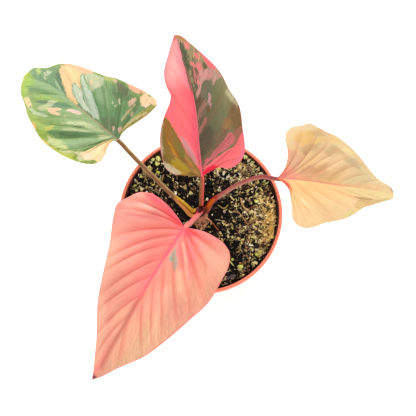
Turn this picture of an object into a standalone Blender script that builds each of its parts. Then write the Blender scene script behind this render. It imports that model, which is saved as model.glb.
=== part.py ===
"""A young homalomena of the pink diamond kind, growing in a 12 cm nursery pot.

Blender units are metres, +Z is up. Sizes below are in millimetres.
The origin is the middle of the pot's underside, and the largest leaf points forward, to -Y.
"""

import math

import bmesh
import bpy
import numpy as np
from mathutils import Matrix, Vector, noise

MM = 0.001
GAP = 0.3  # between pieces that touch

# Pot: a turned shell with a small lip and a ring of drain holes
POT_HEIGHT = 92.0
RIM_RADIUS = 60.0
BASE_RADIUS = 42.5
WALL = 1.2
LIP_HEIGHT = 4.0
LIP_OVERHANG = 1.6
LIP_WIDTH = 2.2
POT_STEPS = 48
DRAIN_COUNT = 8
DRAIN_RADIUS = 4.0
DRAIN_CIRCLE = 29.0

# Soil: fills the pot to a little under the lip, with a lumpy top
SOIL_DEPTH_BELOW_RIM = 6.0
SOIL_RINGS = 15
SOIL_MOUND = 1.8
SOIL_LUMPS = [(14.0, 1.5), (6.5, 1.1)]  # width and height of the lumps
SOIL_LEVEL = POT_HEIGHT - SOIL_DEPTH_BELOW_RIM

# Stem: a short knobby stem that leans back, with a round crown that the leaf stalks grow from
STEM_FOOT = (0.3, -6.2, SOIL_LEVEL)
CROWN_CENTRE = (-0.3, -1.8, SOIL_LEVEL + 11.0)
CROWN_RADIUS = 4.5
STEM_RADIUS = 5.6
STEM_BURIED = 12.0
STEM_SCAR = 0.5  # depth of the grooves between old leaf scars
STEM_STEPS = 16
ROOT_PATH = [(2.4, -4.0, 96.2), (4.4, -5.4, 96.2), (8.2, -8.2, 93.8), (12.7, -12.6, 89.0)]
ROOT_RADIUS = (1.0, 0.4)

# Stalks: the way each leaves the crown, its path, its radius and the open sheath round its foot
STALK_STATIONS = 15
STALKS = {
    "left": {
        "leaves_crown": (-0.95, -0.1, 0.3),
        "path": [(-11.1, 0.4, 106.5), (-20.1, 6.0, 118.0), (-28.3, 12.0, 126.5), (-39.5, 20.9, 137.0),
                 (-48.4, 28.7, 144.5)],
        "radius": (1.65, 1.5),
        "sheath": {"width": 3.4, "length": 27.0},
        "groove_faces": (0.3, -0.3, 1.0),
    },
    "back": {
        "leaves_crown": (0.08, 0.8, 0.6),
        "path": [(0.5, 1.3, 112.0), (0.7, 2.8, 128.0), (1.2, 3.5, 148.0)],
        "radius": (1.7, 1.45),
        "sheath": {"width": 1.8, "length": 12.0},
        "groove_faces": (0.1, -1.0, 0.2),
    },
    "right": {
        "leaves_crown": (0.75, 0.25, 0.6),
        "path": [(6.7, 2.2, 107.0), (9.5, 3.5, 114.0), (12.9, 4.2, 120.0), (16.9, 5.3, 125.5),
                 (25.1, 8.5, 133.0), (33.4, 10.2, 139.5), (41.5, 10.7, 144.5)],
        "radius": (1.6, 1.45),
        "sheath": {"width": 2.8, "length": 24.0},
        "groove_faces": (-0.8, -0.2, 0.55),
    },
    "front": {
        "leaves_crown": (-0.05, -0.1, 1.0),
        "path": [(-1.0, -4.6, 107.5), (-2.8, -10.0, 118.0), (-5.0, -15.4, 129.0), (-7.1, -20.5, 139.0)],
        "radius": (1.65, 1.7),
        "sheath": {"width": 2.1, "length": 14.0},
        "groove_faces": (0.0, 1.0, 0.3),
    },
}

# Blades. The midrib is a path in space from the stalk to the tip. The outline is flat, as (distance
# along the midrib, distance across it), positive to the left of somebody who looks towards the tip.
# Each side has its edge in the notch at the stalk, and its outer edge from the lobe to the tip.
# The veins up to the one that notch_reach gives lean over to follow the notch.
# The veins are where each pair leaves the midrib, and their ends are shares of each outer edge. A
# vein bends towards the tip, or away from it where the bend is negative.
BLADE_THICKNESS = 0.8
MIDRIB_HEIGHT = 1.3  # how far the midrib stands out under the blade at the stalk
MIDRIB_WIDTH = 1.7
BLADES = {
    "front": {
        "midrib": [(-10, -26, 152), (-25, -51.5, 158), (-39.5, -75, 153), (-55, -97.5, 137), (-72, -121, 114)],
        "notch_reach": 2.2,
        "roll": 0.0,
        "fold": (0.14, 0.14),
        "sag": (0.12, 0.12),
        "veins": [0, 0, 2, 6, 14, 25, 38, 52, 69],
        "quilt": 1.7,
        "wave": (0.8, 3.0, 0.2),
        "left": {
            "vein_ends": [0.12, 0.24, 0.33, 0.41, 0.49, 0.575, 0.63, 0.69, 0.845],
            "vein_bend": -6.0,
            "notch": [(0, 0), (-3.4, 9.5), (-4.3, 16), (-4, 26)],
            "edge": [(-4, 26), (0, 33.5), (8, 37.5), (18, 38.5), (36, 38.5), (49, 34.5), (63, 30),
                     (84, 22.5), (104, 12), (120, 4.5), (127.3, 0)],
        },
        "right": {
            "vein_ends": [0.12, 0.19, 0.33, 0.425, 0.48, 0.59, 0.66, 0.775, 0.895],
            "vein_bend": 13.0,
            "notch": [(0, 0), (-4.2, -8.4), (-8, -20), (-9.2, -30.5)],
            "edge": [(-9.2, -30.5), (-5.5, -38), (1, -42), (9, -45.5), (18.5, -42.5), (36, -34.5),
                     (57, -27), (77, -20.4), (97, -10.4), (113, -4.5), (127.3, 0)],
        },
    },
    "back": {
        "midrib": [(1.5, 4, 166), (-0.5, 21, 186), (-2.5, 37, 203), (-7, 54, 216), (-14.6, 74.5, 222.4)],
        "notch_reach": 2.2,
        "roll": 4.0,
        "fold": (0.35, 0.15),
        "sag": (0.15, 0.05),
        "veins": [0, 2, 8, 19, 33, 52, 68],
        "quilt": 0.7,
        "wave": (0.7, 2.0, 0.4),
        "left": {
            "vein_ends": [0.14, 0.3, 0.44, 0.55, 0.68, 0.83, 0.93],
            "vein_bend": 3.0,
            "notch": [(0, 0), (2.2, 6.2), (4.5, 11), (7, 17)],
            "edge": [(7, 17), (13, 22.5), (23, 24.3), (35, 23.9), (49, 20.2), (57, 15.2), (61, 13.8),
                     (67, 15.1), (75, 14.1), (85, 7.4), (91.5, 2.6), (94.6, 0)],
        },
        "right": {
            "vein_ends": [0.12, 0.24, 0.36, 0.48, 0.62, 0.73, 0.86],
            "vein_bend": 6.0,
            "notch": [(0, 0), (2.5, -3.4), (6, -11), (4.6, -16), (5.2, -20.5)],
            "edge": [(5.2, -20.5), (9, -25), (16, -28), (34, -27.5), (46, -26.5), (56, -21.8),
                     (66, -18.7), (78, -11.9), (88, -6.4), (92.6, -3.5), (94.6, 0)],
        },
    },
    "left": {
        "midrib": [(-55, 35, 150), (-71, 48, 153), (-88, 64, 147), (-108.5, 85, 129), (-135, 104.5, 101)],
        "notch_reach": 2.2,
        "roll": 0.0,
        "fold": (0.12, 0.12),
        "sag": (0.1, 0.1),
        "veins": [0, 2, 5, 11, 20, 36, 54, 75],
        "quilt": 1.0,
        "wave": (0.9, 2.5, 0.1),
        "left": {
            "vein_ends": [0.14, 0.22, 0.33, 0.45, 0.53, 0.69, 0.79, 0.89],
            "vein_bend": 6.0,
            "notch": [(0, 0), (2.4, 3.2), (2.4, 8), (0.3, 13), (-1, 19)],
            "edge": [(-1, 19), (1.5, 23.5), (6.5, 27.3), (18, 32), (32, 34), (41, 33.3), (51, 30.7),
                     (68, 26.9), (84, 22.7), (103, 15.1), (114.4, 7.8), (122.9, 0)],
        },
        "right": {
            "vein_ends": [0.09, 0.22, 0.4, 0.53, 0.63, 0.7, 0.77, 0.87],
            "vein_bend": 6.0,
            "notch": [(0, 0), (1, -6.8), (-1.6, -17.3), (-3.8, -27), (-4.2, -36)],
            "edge": [(-4.2, -36), (0, -38.3), (8, -37.7), (20, -34.7), (32, -31.8), (41, -28.5), (53, -27),
                     (68, -24), (85, -17.8), (98, -12), (111, -10.6), (119.4, -8.3), (122.9, 0)],
        },
    },
    "right": {
        "midrib": [(51, 8.6, 150), (70, 6.2, 152), (90, 6, 143), (114, 9, 123), (141.7, 12.6, 95.3)],
        "notch_reach": 4.0,
        "roll": -8.0,
        "fold": (0.1, 0.02),
        "sag": (0.1, 0.15),
        "veins": [0, 2, 4, 10, 18, 30, 44, 64],
        "quilt": 0.8,
        "wave": (0.9, 2.5, 0.6),
        "left": {
            "vein_ends": [0.157, 0.33, 0.505, 0.59, 0.66, 0.73, 0.81, 0.87],
            "vein_bend": 11.0,
            "notch": [(0, 0), (2.5, 1.9), (4.6, 5.6), (5.6, 12), (4.2, 22), (2.3, 29)],
            "edge": [(2.3, 29), (2.1, 33.8), (5, 39.2), (14, 41.3), (27, 43.5), (34, 42.2), (55, 42.6),
                     (62.6, 41.4), (76, 27.5), (92, 13.9), (101, 9.5), (108.5, 7.4), (112.8, 4.8), (113, 0)],
        },
        "right": {
            "vein_ends": [0.06, 0.11, 0.165, 0.33, 0.47, 0.7, 0.8, 0.88],
            "vein_bend": 12.0,
            "notch": [(0, 0), (2.6, -1.4), (5.6, -3.2), (8.6, -6.6), (10.2, -12), (12, -20.5), (12.8, -27)],
            "edge": [(12.8, -27), (15, -30.8), (19, -32.8), (24, -31.7), (31, -28.1), (46, -23.8),
                     (64, -15.9), (78, -11.9), (94, -7.8), (105.4, -5), (110.8, -2.8), (113, 0)],
        },
    },
}
BLADE_COLUMNS = [0.0, 0.07, 0.2, 0.36, 0.54, 0.72, 0.88, 1.0]  # from midrib to edge

# Colour, roughness and metallic value of each piece
FINISH = {
    "pot": ((0.78, 0.22, 0.13), 0.45, 0.0),
    "soil": ((0.018, 0.013, 0.009), 0.95, 0.0),
    "stem_base": ((0.30, 0.17, 0.08), 0.8, 0.0),
    "petiole_left": ((0.26, 0.13, 0.05), 0.5, 0.0),
    "petiole_back": ((0.55, 0.12, 0.07), 0.5, 0.0),
    "petiole_right": ((0.40, 0.07, 0.08), 0.5, 0.0),
    "petiole_front": ((0.92, 0.16, 0.17), 0.45, 0.0),
    "blade_left": ((0.13, 0.30, 0.12), 0.45, 0.0),
    "blade_back": ((0.75, 0.18, 0.19), 0.45, 0.0),
    "blade_right": ((0.86, 0.62, 0.33), 0.45, 0.0),
    "blade_front": ((0.92, 0.32, 0.24), 0.45, 0.0),
}


def clear_scene():
    for obj in list(bpy.data.objects):
        bpy.data.objects.remove(obj, do_unlink=True)


def new_collection(name):
    collection = bpy.data.collections.new(name)
    bpy.context.scene.collection.children.link(collection)
    return collection


def new_material(name):
    colour, roughness, metallic = FINISH[name]
    material = bpy.data.materials.new(name)
    material.use_nodes = True
    shader = material.node_tree.nodes["Principled BSDF"]
    shader.inputs["Base Color"].default_value = (*colour, 1.0)
    shader.inputs["Roughness"].default_value = roughness
    shader.inputs["Metallic"].default_value = metallic
    return material


def add_object(name, mesh, collection):
    obj = bpy.data.objects.new(name, mesh)
    collection.objects.link(obj)
    return obj


def finish(obj, sharp_angle=40.0):
    """Gives a piece its material and smooth shading with sharp edges over the angle."""
    obj.data.materials.append(new_material(obj.name))
    obj.data.shade_smooth()
    obj.data.set_sharp_from_angle(angle=math.radians(sharp_angle))
    return obj


def mesh_from(name, points, faces):
    """A mesh from points in millimetres."""
    mesh = bpy.data.meshes.new(name)
    mesh.from_pydata([tuple(MM * float(c) for c in p) for p in points], [], faces)
    mesh.validate()
    return mesh


def add_cutter(name, mesh, collection):
    cutter = add_object(name, mesh, collection)
    cutter.hide_render = True
    cutter.display_type = "WIRE"
    return cutter


def boolean(obj, other, operation):
    modifier = obj.modifiers.new(operation.title(), "BOOLEAN")
    modifier.object = other
    modifier.operation = operation
    modifier.solver = "EXACT"


def turned(name, profile, steps, collection):
    """A turned solid. The profile is (radius, height) from the axis, out, down and back to the axis."""
    mesh = bpy.data.meshes.new(name)
    edges = [(i, i + 1) for i in range(len(profile) - 1)]
    mesh.from_pydata([(MM * radius, 0.0, MM * height) for radius, height in profile], edges, [])
    obj = add_object(name, mesh, collection)
    screw = obj.modifiers.new("Screw", "SCREW")
    screw.axis = "Z"
    screw.angle = math.tau
    screw.steps = steps
    screw.render_steps = steps
    screw.use_merge_vertices = True
    screw.merge_threshold = 1e-5
    screw.use_normal_calculate = True
    return obj


def applied_mesh(obj):
    """Replaces an object's mesh with what its modifiers make of it."""
    depsgraph = bpy.context.evaluated_depsgraph_get()
    mesh = bpy.data.meshes.new_from_object(obj.evaluated_get(depsgraph))
    obj.modifiers.clear()
    obj.data = mesh
    return mesh


def inner_radius(height):
    """The pot's inside radius at a height."""
    slope = (RIM_RADIUS - LIP_OVERHANG - BASE_RADIUS) / (POT_HEIGHT - LIP_HEIGHT)
    return BASE_RADIUS - WALL + slope * height


def make_pot(parts, cutters):
    outer_top = RIM_RADIUS - LIP_OVERHANG
    lip_foot = POT_HEIGHT - LIP_HEIGHT
    profile = [
        (0.0, WALL),
        (inner_radius(WALL) - 1.0, WALL),
        (inner_radius(WALL + 1.0), WALL + 1.0),
        (inner_radius(lip_foot - 2.0), lip_foot - 2.0),
        (RIM_RADIUS - LIP_WIDTH, POT_HEIGHT - 0.6),
        (RIM_RADIUS - LIP_WIDTH + 0.4, POT_HEIGHT),
        (RIM_RADIUS - 0.7, POT_HEIGHT),
        (RIM_RADIUS - 0.1, POT_HEIGHT - 0.5),
        (RIM_RADIUS, POT_HEIGHT - 1.4),
        (RIM_RADIUS - 0.3, lip_foot),
        (outer_top, lip_foot),
        (BASE_RADIUS, 1.5),
        (BASE_RADIUS - 1.2, 0.0),
        (0.0, 0.0),
    ]
    pot = turned("pot", profile, POT_STEPS, parts)
    drains = bmesh.new()
    for i in range(DRAIN_COUNT):
        angle = math.tau * (i + 0.5) / DRAIN_COUNT
        centre = Vector((DRAIN_CIRCLE * math.cos(angle), DRAIN_CIRCLE * math.sin(angle), 0.0))
        bmesh.ops.create_cone(
            drains, cap_ends=True, segments=14, radius1=MM * DRAIN_RADIUS, radius2=MM * DRAIN_RADIUS,
            depth=MM * 6.0, matrix=Matrix.Translation(MM * centre),
        )
    mesh = bpy.data.meshes.new("drain_cutter")
    drains.to_mesh(mesh)
    drains.free()
    boolean(pot, add_cutter("drain_cutter", mesh, cutters), "DIFFERENCE")
    return finish(pot)


def soil_height(x, y):
    """How far the soil's top lies over its level, with lumps that fade out at the wall."""
    radius = math.hypot(x, y)
    share = radius / inner_radius(SOIL_LEVEL)
    height = SOIL_MOUND * (0.5 - share ** 2)
    fade = min(1.0, (1.0 - share) / 0.08)
    for i, (width, size) in enumerate(SOIL_LUMPS):
        height += fade * size * noise.noise(Vector((x / width, y / width, 7.3 * (i + 1))))
    return height


def make_soil(parts, cutters, stem_axis):
    bottom = WALL + GAP
    edge = inner_radius(SOIL_LEVEL - 1.5) - GAP
    rings = [(edge * i / SOIL_RINGS, SOIL_LEVEL) for i in range(SOIL_RINGS + 1)]
    profile = rings + [(inner_radius(bottom) - 1.6, bottom), (0.0, bottom)]
    soil = turned("soil", profile, POT_STEPS, parts)
    for vertex in applied_mesh(soil).vertices:
        if vertex.co.z > MM * (SOIL_LEVEL - 0.5):
            vertex.co.z += MM * soil_height(vertex.co.x / MM, vertex.co.y / MM)
    hole = bmesh.new()
    bmesh.ops.create_cone(
        hole, cap_ends=True, segments=STEM_STEPS, radius1=MM * (STEM_RADIUS + GAP),
        radius2=MM * (STEM_RADIUS + GAP), depth=MM * 2.0 * (STEM_BURIED + GAP),
        matrix=stem_axis,
    )
    mesh = bpy.data.meshes.new("stem_hole_cutter")
    hole.to_mesh(mesh)
    hole.free()
    boolean(soil, add_cutter("stem_hole_cutter", mesh, cutters), "DIFFERENCE")
    return finish(soil, 60.0)


def stem_matrix():
    """The stem's own frame in metres: its foot at soil level, and +Z to the crown."""
    foot = Vector(STEM_FOOT)
    lean = (Vector(CROWN_CENTRE) - foot).to_track_quat("Z", "Y").to_matrix().to_4x4()
    return Matrix.Translation(MM * foot) @ lean


def make_stem_base(parts, cutters):
    crown = (Vector(CROWN_CENTRE) - Vector(STEM_FOOT)).length
    dome = [
        (CROWN_RADIUS * math.sin(math.radians(a)), crown + CROWN_RADIUS * math.cos(math.radians(a)))
        for a in (0, 22, 45, 68, 90)
    ]
    scars = []
    for i, height in enumerate((9.0, 7.4, 5.9, 4.4, 2.9, 1.4)):
        swell = STEM_RADIUS - (STEM_SCAR if i % 2 == 0 else 0.0) - 0.06 * height
        scars.append((swell, height))
    buried = [(STEM_RADIUS, -0.5), (STEM_RADIUS, -STEM_BURIED), (0.0, -STEM_BURIED)]
    stem = turned("stem_base", dome + scars + buried, STEM_STEPS, parts)
    stem.matrix_world = stem_matrix()
    curve = spline(ROOT_PATH, 3)
    radii = np.linspace(ROOT_RADIUS[0], ROOT_RADIUS[1], len(curve))
    sections = [round_section(7, radius) for radius in radii]
    root = loft("dry_root", curve, sections, Vector((0.0, 0.0, 1.0)))
    boolean(stem, add_cutter("dry_root", root, cutters), "UNION")
    return finish(stem, 50.0)


def spline(points, samples):
    """A centripetal Catmull-Rom curve through the points, with this many samples for each span."""
    known = np.array(points, float)
    ends = np.vstack([2 * known[0] - known[1], known, 2 * known[-1] - known[-2]])
    curve = []
    for i in range(len(known) - 1):
        a, b, c, d = ends[i:i + 4]
        t1 = np.linalg.norm(b - a) ** 0.5
        t2 = t1 + np.linalg.norm(c - b) ** 0.5
        t3 = t2 + np.linalg.norm(d - c) ** 0.5
        for k in range(samples):
            t = t1 + (t2 - t1) * k / samples
            ab = a + (b - a) * t / t1
            bc = b + (c - b) * (t - t1) / (t2 - t1)
            cd = c + (d - c) * (t - t2) / (t3 - t2)
            abc = ab + (bc - ab) * t / t2
            bcd = bc + (cd - bc) * (t - t1) / (t3 - t1)
            curve.append(abc + (bcd - abc) * (t - t1) / (t2 - t1))
    curve.append(known[-1])
    return np.array(curve)


def along(curve, shares):
    """Points of a curve at these shares of its length."""
    steps = np.linalg.norm(np.diff(curve, axis=0), axis=1)
    length = np.concatenate([[0.0], np.cumsum(steps)])
    wanted = np.asarray(shares) * length[-1]
    return np.stack([np.interp(wanted, length, curve[:, i]) for i in range(curve.shape[1])], axis=-1)


def round_section(count, radius):
    angles = [math.tau * i / count for i in range(count)]
    return [(radius * math.cos(angle), radius * math.sin(angle)) for angle in angles]


def channel_section(width, depth, open_share):
    """A stalk's section, from round (0) to an open channel (1) with its hollow on the +Y side."""
    under = [(width * math.cos(a), depth * math.sin(a)) for a in np.linspace(math.pi, math.tau, 7)]
    over = []
    for x in (0.72, 0.28, -0.28, -0.72):
        arch = depth * math.sqrt(1.0 - x * x)
        hollow = -0.55 * depth * (1.0 - x * x)
        over.append((width * x, arch + (hollow - arch) * open_share))
    return under + over


def loft(name, curve, sections, up):
    """A closed body through sections set square to a curve, with each section's +Y towards up."""
    curve = np.asarray(curve, float)
    ahead = np.gradient(curve, axis=0)
    points = []
    for centre, way, section in zip(curve, ahead, sections):
        way = Vector(way).normalized()
        side = way.cross(Vector(up)).normalized()
        over = side.cross(way)
        points += [Vector(centre) + side * x + over * y for x, y in section]
    return lofted(name, points, len(sections[0]))


def lofted(name, points, count):
    """A closed body from rings of count points each."""
    faces = []
    for ring in range(len(points) // count - 1):
        for i in range(count):
            a = ring * count + i
            b = ring * count + (i + 1) % count
            faces.append((a, b, b + count))
            faces.append((a, b + count, a + count))
    faces.append(tuple(reversed(range(count))))
    faces.append(tuple(range(len(points) - count, len(points))))
    mesh = mesh_from(name, points, faces)
    face_outwards(mesh)
    return mesh


def face_outwards(mesh):
    body = bmesh.new()
    body.from_mesh(mesh)
    bmesh.ops.recalc_face_normals(body, faces=body.faces)
    body.to_mesh(mesh)
    body.free()


class Midrib:
    """A blade's midrib in space, with the blade's own axes along it."""

    def __init__(self, blade):
        self.curve = spline(blade["midrib"], 24)
        steps = np.linalg.norm(np.diff(self.curve, axis=0), axis=1)
        self.at = np.concatenate([[0.0], np.cumsum(steps)])
        self.length = self.at[-1]
        self.roll = math.radians(blade["roll"])

    def point(self, s):
        s = np.clip(s, 0.0, self.length)
        return np.stack([np.interp(s, self.at, self.curve[:, i]) for i in range(3)], axis=-1)

    def axes(self, s):
        """(point, along, left, up) at these distances. Past an end the midrib runs on straight."""
        s = np.asarray(s, float)
        on = np.clip(s, 0.0, self.length)
        ahead = self.point(on + 2.0) - self.point(on - 2.0)
        ahead /= np.linalg.norm(ahead, axis=-1, keepdims=True)
        left = np.cross((0.0, 0.0, 1.0), ahead)
        left /= np.linalg.norm(left, axis=-1, keepdims=True)
        up = np.cross(ahead, left)
        cos, sin = math.cos(self.roll), math.sin(self.roll)
        left, up = left * cos + up * sin, up * cos - left * sin
        return self.point(on) + (s - on)[..., None] * ahead, ahead, left, up


def vein_grid(blade, side, length, rows, columns):
    """Flat (s, w) of points along each row, and each row's start on the midrib and share of the edge.

    A row is a number of veins: 0 is the notch, 1 the first vein and the last is the tip.
    """
    numbers = np.arange(len(blade["veins"]) + 2)
    starts = np.interp(rows, numbers, [0.0, *blade["veins"], length])
    shares = np.interp(rows, numbers, [0.0, *blade[side]["vein_ends"], 1.0])
    ends = along(spline(blade[side]["edge"], 12), shares)
    notch = along(spline(blade[side]["notch"], 12), columns)
    bend = math.radians(blade[side]["vein_bend"]) * (1.0 if side == "left" else -1.0)
    u = np.asarray(columns)[:, None]
    grid = []
    for at, end in zip(starts, ends):
        start = np.array([at, 0.0])
        chord = end - start
        middle = start + 0.5 * np.array([
            chord[0] * math.cos(bend) - chord[1] * math.sin(bend),
            chord[0] * math.sin(bend) + chord[1] * math.cos(bend),
        ])
        grid.append((1 - u) ** 2 * start + 2 * u * (1 - u) * middle + u ** 2 * end)
    grid = np.array(grid)
    correction = notch - grid[0]
    for i, row in enumerate(rows):
        grid[i] += correction * max(0.0, 1.0 - (row / blade["notch_reach"]) ** 2)
    return grid, starts, shares


def blade_relief(blade, side, s, w, u, row, share):
    """Height of the blade's upper face over its flat plane: fold, sag, waved edge and quilting."""
    which = 0 if side == "left" else 1
    rise = blade["fold"][which] * (np.sqrt(w * w + 4.0) - 2.0) - blade["sag"][which] * w * w / 40.0
    height, waves, phase = blade["wave"]
    turn = 0.5 * which
    wave = np.sin(math.tau * (waves * share + phase + turn)) * np.sin(math.pi * np.clip(share, 0.0, 1.0)) ** 0.5
    widths = np.diff([0.0, *blade[side]["vein_ends"], 1.0]) * (len(blade["veins"]) + 1)
    swell = np.minimum(1.3, widths)[np.minimum(row.astype(int), len(blade["veins"]))]
    quilt = blade["quilt"] * swell * np.abs(np.sin(math.pi * row)) * np.sin(math.pi * u) ** 0.7
    return rise + height * u ** 2 * wave + quilt * (1.0 - share ** 3)


def make_blade(name, blade, parts):
    """A blade with its lobes, impressed veins, waved edge and the midrib standing out below."""
    midrib = Midrib(blade)
    rows = np.arange(0.0, len(blade["veins"]) + 1.25, 0.5)
    row_count = len(rows) - 1
    u = np.array(BLADE_COLUMNS)
    top, under, index = [], [], {}
    for side in ("left", "right"):
        grid, starts, shares = vein_grid(blade, side, midrib.length, rows, BLADE_COLUMNS)
        s, w = grid[..., 0], grid[..., 1]
        origin, _, left, up = midrib.axes(s)
        rise = blade_relief(blade, side, s, w, u[None, :], rows[:, None], shares[:, None])
        face = origin + left * w[..., None] + up * rise[..., None]
        taper = np.clip(1.0 - s / midrib.length, 0.0, 1.0) ** 0.8
        rib = MIDRIB_HEIGHT * taper * np.exp(-(w / MIDRIB_WIDTH) ** 2)
        back = face - up * (BLADE_THICKNESS + rib)[..., None]
        for i in range(row_count + 1):
            for j in range(len(u)):
                at_stalk = j == 0 and starts[i] == 0.0
                key = "stalk" if at_stalk else "tip" if i == row_count else (i,) if j == 0 else (side, i, j)
                if key not in index:
                    index[key] = len(top)
                    top.append(face[i, j])
                    under.append(back[i, j])
                index[side, i, j] = index[key]
    triangles = []
    for side in ("left", "right"):
        for i in range(row_count):
            for j in range(len(u) - 1):
                a, b = index[side, i, j], index[side, i, j + 1]
                c, d = index[side, i + 1, j + 1], index[side, i + 1, j]
                pair = [(a, b, c), (a, c, d)] if side == "left" else [(a, c, b), (a, d, c)]
                triangles += [t for t in pair if len(set(t)) == 3]
    edges = {}
    for t in triangles:
        for p, q in zip(t, t[1:] + t[:1]):
            edges[p, q] = True
    count = len(top)
    faces = list(triangles) + [(t[2] + count, t[1] + count, t[0] + count) for t in triangles]
    for p, q in edges:
        if (q, p) not in edges:
            faces.append((q, p, p + count))
            faces.append((q, p + count, q + count))
    mesh = mesh_from(name, top + under, faces)
    face_outwards(mesh)
    return finish(add_object(name, mesh, parts), 35.0)


def make_stalk(name, stalk, blade, parts):
    """A leaf stalk, from the crown to the underside of its blade, with the open sheath at its foot."""
    way = Vector(stalk["leaves_crown"]).normalized()
    foot = Vector(CROWN_CENTRE) + way * (CROWN_RADIUS + GAP + 0.2)
    origin, ahead, left, up = (Vector(a) for a in Midrib(blade).axes(0.0))
    head = origin - up * (BLADE_THICKNESS + MIDRIB_HEIGHT + GAP + 0.1) + ahead * 0.3
    under_head = head - up * 2.0 - ahead * 0.8
    route = [foot, foot + way * 1.5, *stalk["path"], under_head, head]
    curve = along(spline([tuple(p) for p in route], 12), np.linspace(0.0, 1.0, STALK_STATIONS))
    length = np.linalg.norm(np.diff(curve, axis=0), axis=1).sum()
    sections = []
    for i in range(STALK_STATIONS):
        share = i / (STALK_STATIONS - 1)
        radius = stalk["radius"][0] + (stalk["radius"][1] - stalk["radius"][0]) * share
        reach = share * length / stalk["sheath"]["length"]
        open_share = max(0.0, 1.0 - reach ** 3)
        width = radius + (stalk["sheath"]["width"] - radius) * max(0.0, 1.0 - reach)
        sections.append(channel_section(width, radius * (1.0 + 0.12 * open_share), open_share))
    mesh = loft(name, curve, sections, Vector(stalk["groove_faces"]))
    return finish(add_object(name, mesh, parts), 50.0)


def main():
    clear_scene()
    parts = new_collection("potted_pink_diamond_homalomena")
    cutters = new_collection("cutters")
    make_pot(parts, cutters)
    make_soil(parts, cutters, stem_matrix())
    make_stem_base(parts, cutters)
    for where in ("left", "back", "right", "front"):
        make_stalk("petiole_" + where, STALKS[where], BLADES[where], parts)
        make_blade("blade_" + where, BLADES[where], parts)


main()
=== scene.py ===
"""The finished look of the potted homalomena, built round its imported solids.

Places and sizes are in millimetres and turn into metres where a mesh is made, apart from the lists
that hold pixels of the photograph and say so. Colours are screen colours from 0 to 255. The leaf and
stalk shapes repeat the solids' own dimensions and formulas, so that each fine piece lies where its
solid is.
"""

import math

import bmesh
import bpy
import numpy as np
from mathutils import Matrix, Vector, noise


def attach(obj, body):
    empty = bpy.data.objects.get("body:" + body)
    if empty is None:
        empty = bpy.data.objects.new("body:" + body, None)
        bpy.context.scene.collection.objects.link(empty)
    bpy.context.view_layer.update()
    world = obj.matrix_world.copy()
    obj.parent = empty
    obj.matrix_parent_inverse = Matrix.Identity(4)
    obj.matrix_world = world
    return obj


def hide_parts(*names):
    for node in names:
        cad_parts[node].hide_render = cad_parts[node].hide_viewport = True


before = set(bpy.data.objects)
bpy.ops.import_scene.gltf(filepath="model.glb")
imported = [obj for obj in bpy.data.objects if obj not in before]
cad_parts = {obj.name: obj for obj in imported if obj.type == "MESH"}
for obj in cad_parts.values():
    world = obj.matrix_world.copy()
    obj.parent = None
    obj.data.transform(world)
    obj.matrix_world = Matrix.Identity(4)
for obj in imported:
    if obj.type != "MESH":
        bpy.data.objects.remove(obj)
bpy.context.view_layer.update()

MM = 0.001

# The camera of the photograph, whose picture is 416 pixels wide
PICTURE_WIDTH = 416.0
FOCAL_PIXELS = 746.6
SENSOR_WIDTH = 36.0
CAMERA_AIM = np.array([5.26, 3.29, 92.0])
CAMERA_DISTANCE = 550.0
CAMERA_ELEVATION = math.radians(74.85)
TOWARDS_CAMERA = np.array([0.0, -math.cos(CAMERA_ELEVATION), math.sin(CAMERA_ELEVATION)])
PICTURE_UP = np.array([0.0, math.sin(CAMERA_ELEVATION), math.cos(CAMERA_ELEVATION)])

# Pot
POT_HEIGHT = 92.0
RIM_RADIUS = 60.0
BASE_RADIUS = 42.5
WALL = 1.2
LIP_HEIGHT = 4.0
LIP_OVERHANG = 1.6
LIP_WIDTH = 2.2
WALL_SLOPE = (RIM_RADIUS - LIP_OVERHANG - BASE_RADIUS) / (POT_HEIGHT - LIP_HEIGHT)
POT_STEPS = 192
DRAIN_COUNT = 8
DRAIN_RADIUS = 4.0
DRAIN_CIRCLE = 29.0

# Soil
SOIL_LEVEL = 86.0
SOIL_MOUND = 1.8
SOIL_BANK = 2.6
SOIL_BANK_START = 44.0
SOIL_BANK_WIDTH = 11.0
SOIL_LUMPS = [(14.0, 1.5), (6.5, 1.1)]
SOIL_CRUMB = [(2.6, 0.55), (1.2, 0.3)]  # width and height of the finest lumps
SOIL_RINGS = 84
SOIL_STEPS = 224

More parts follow.
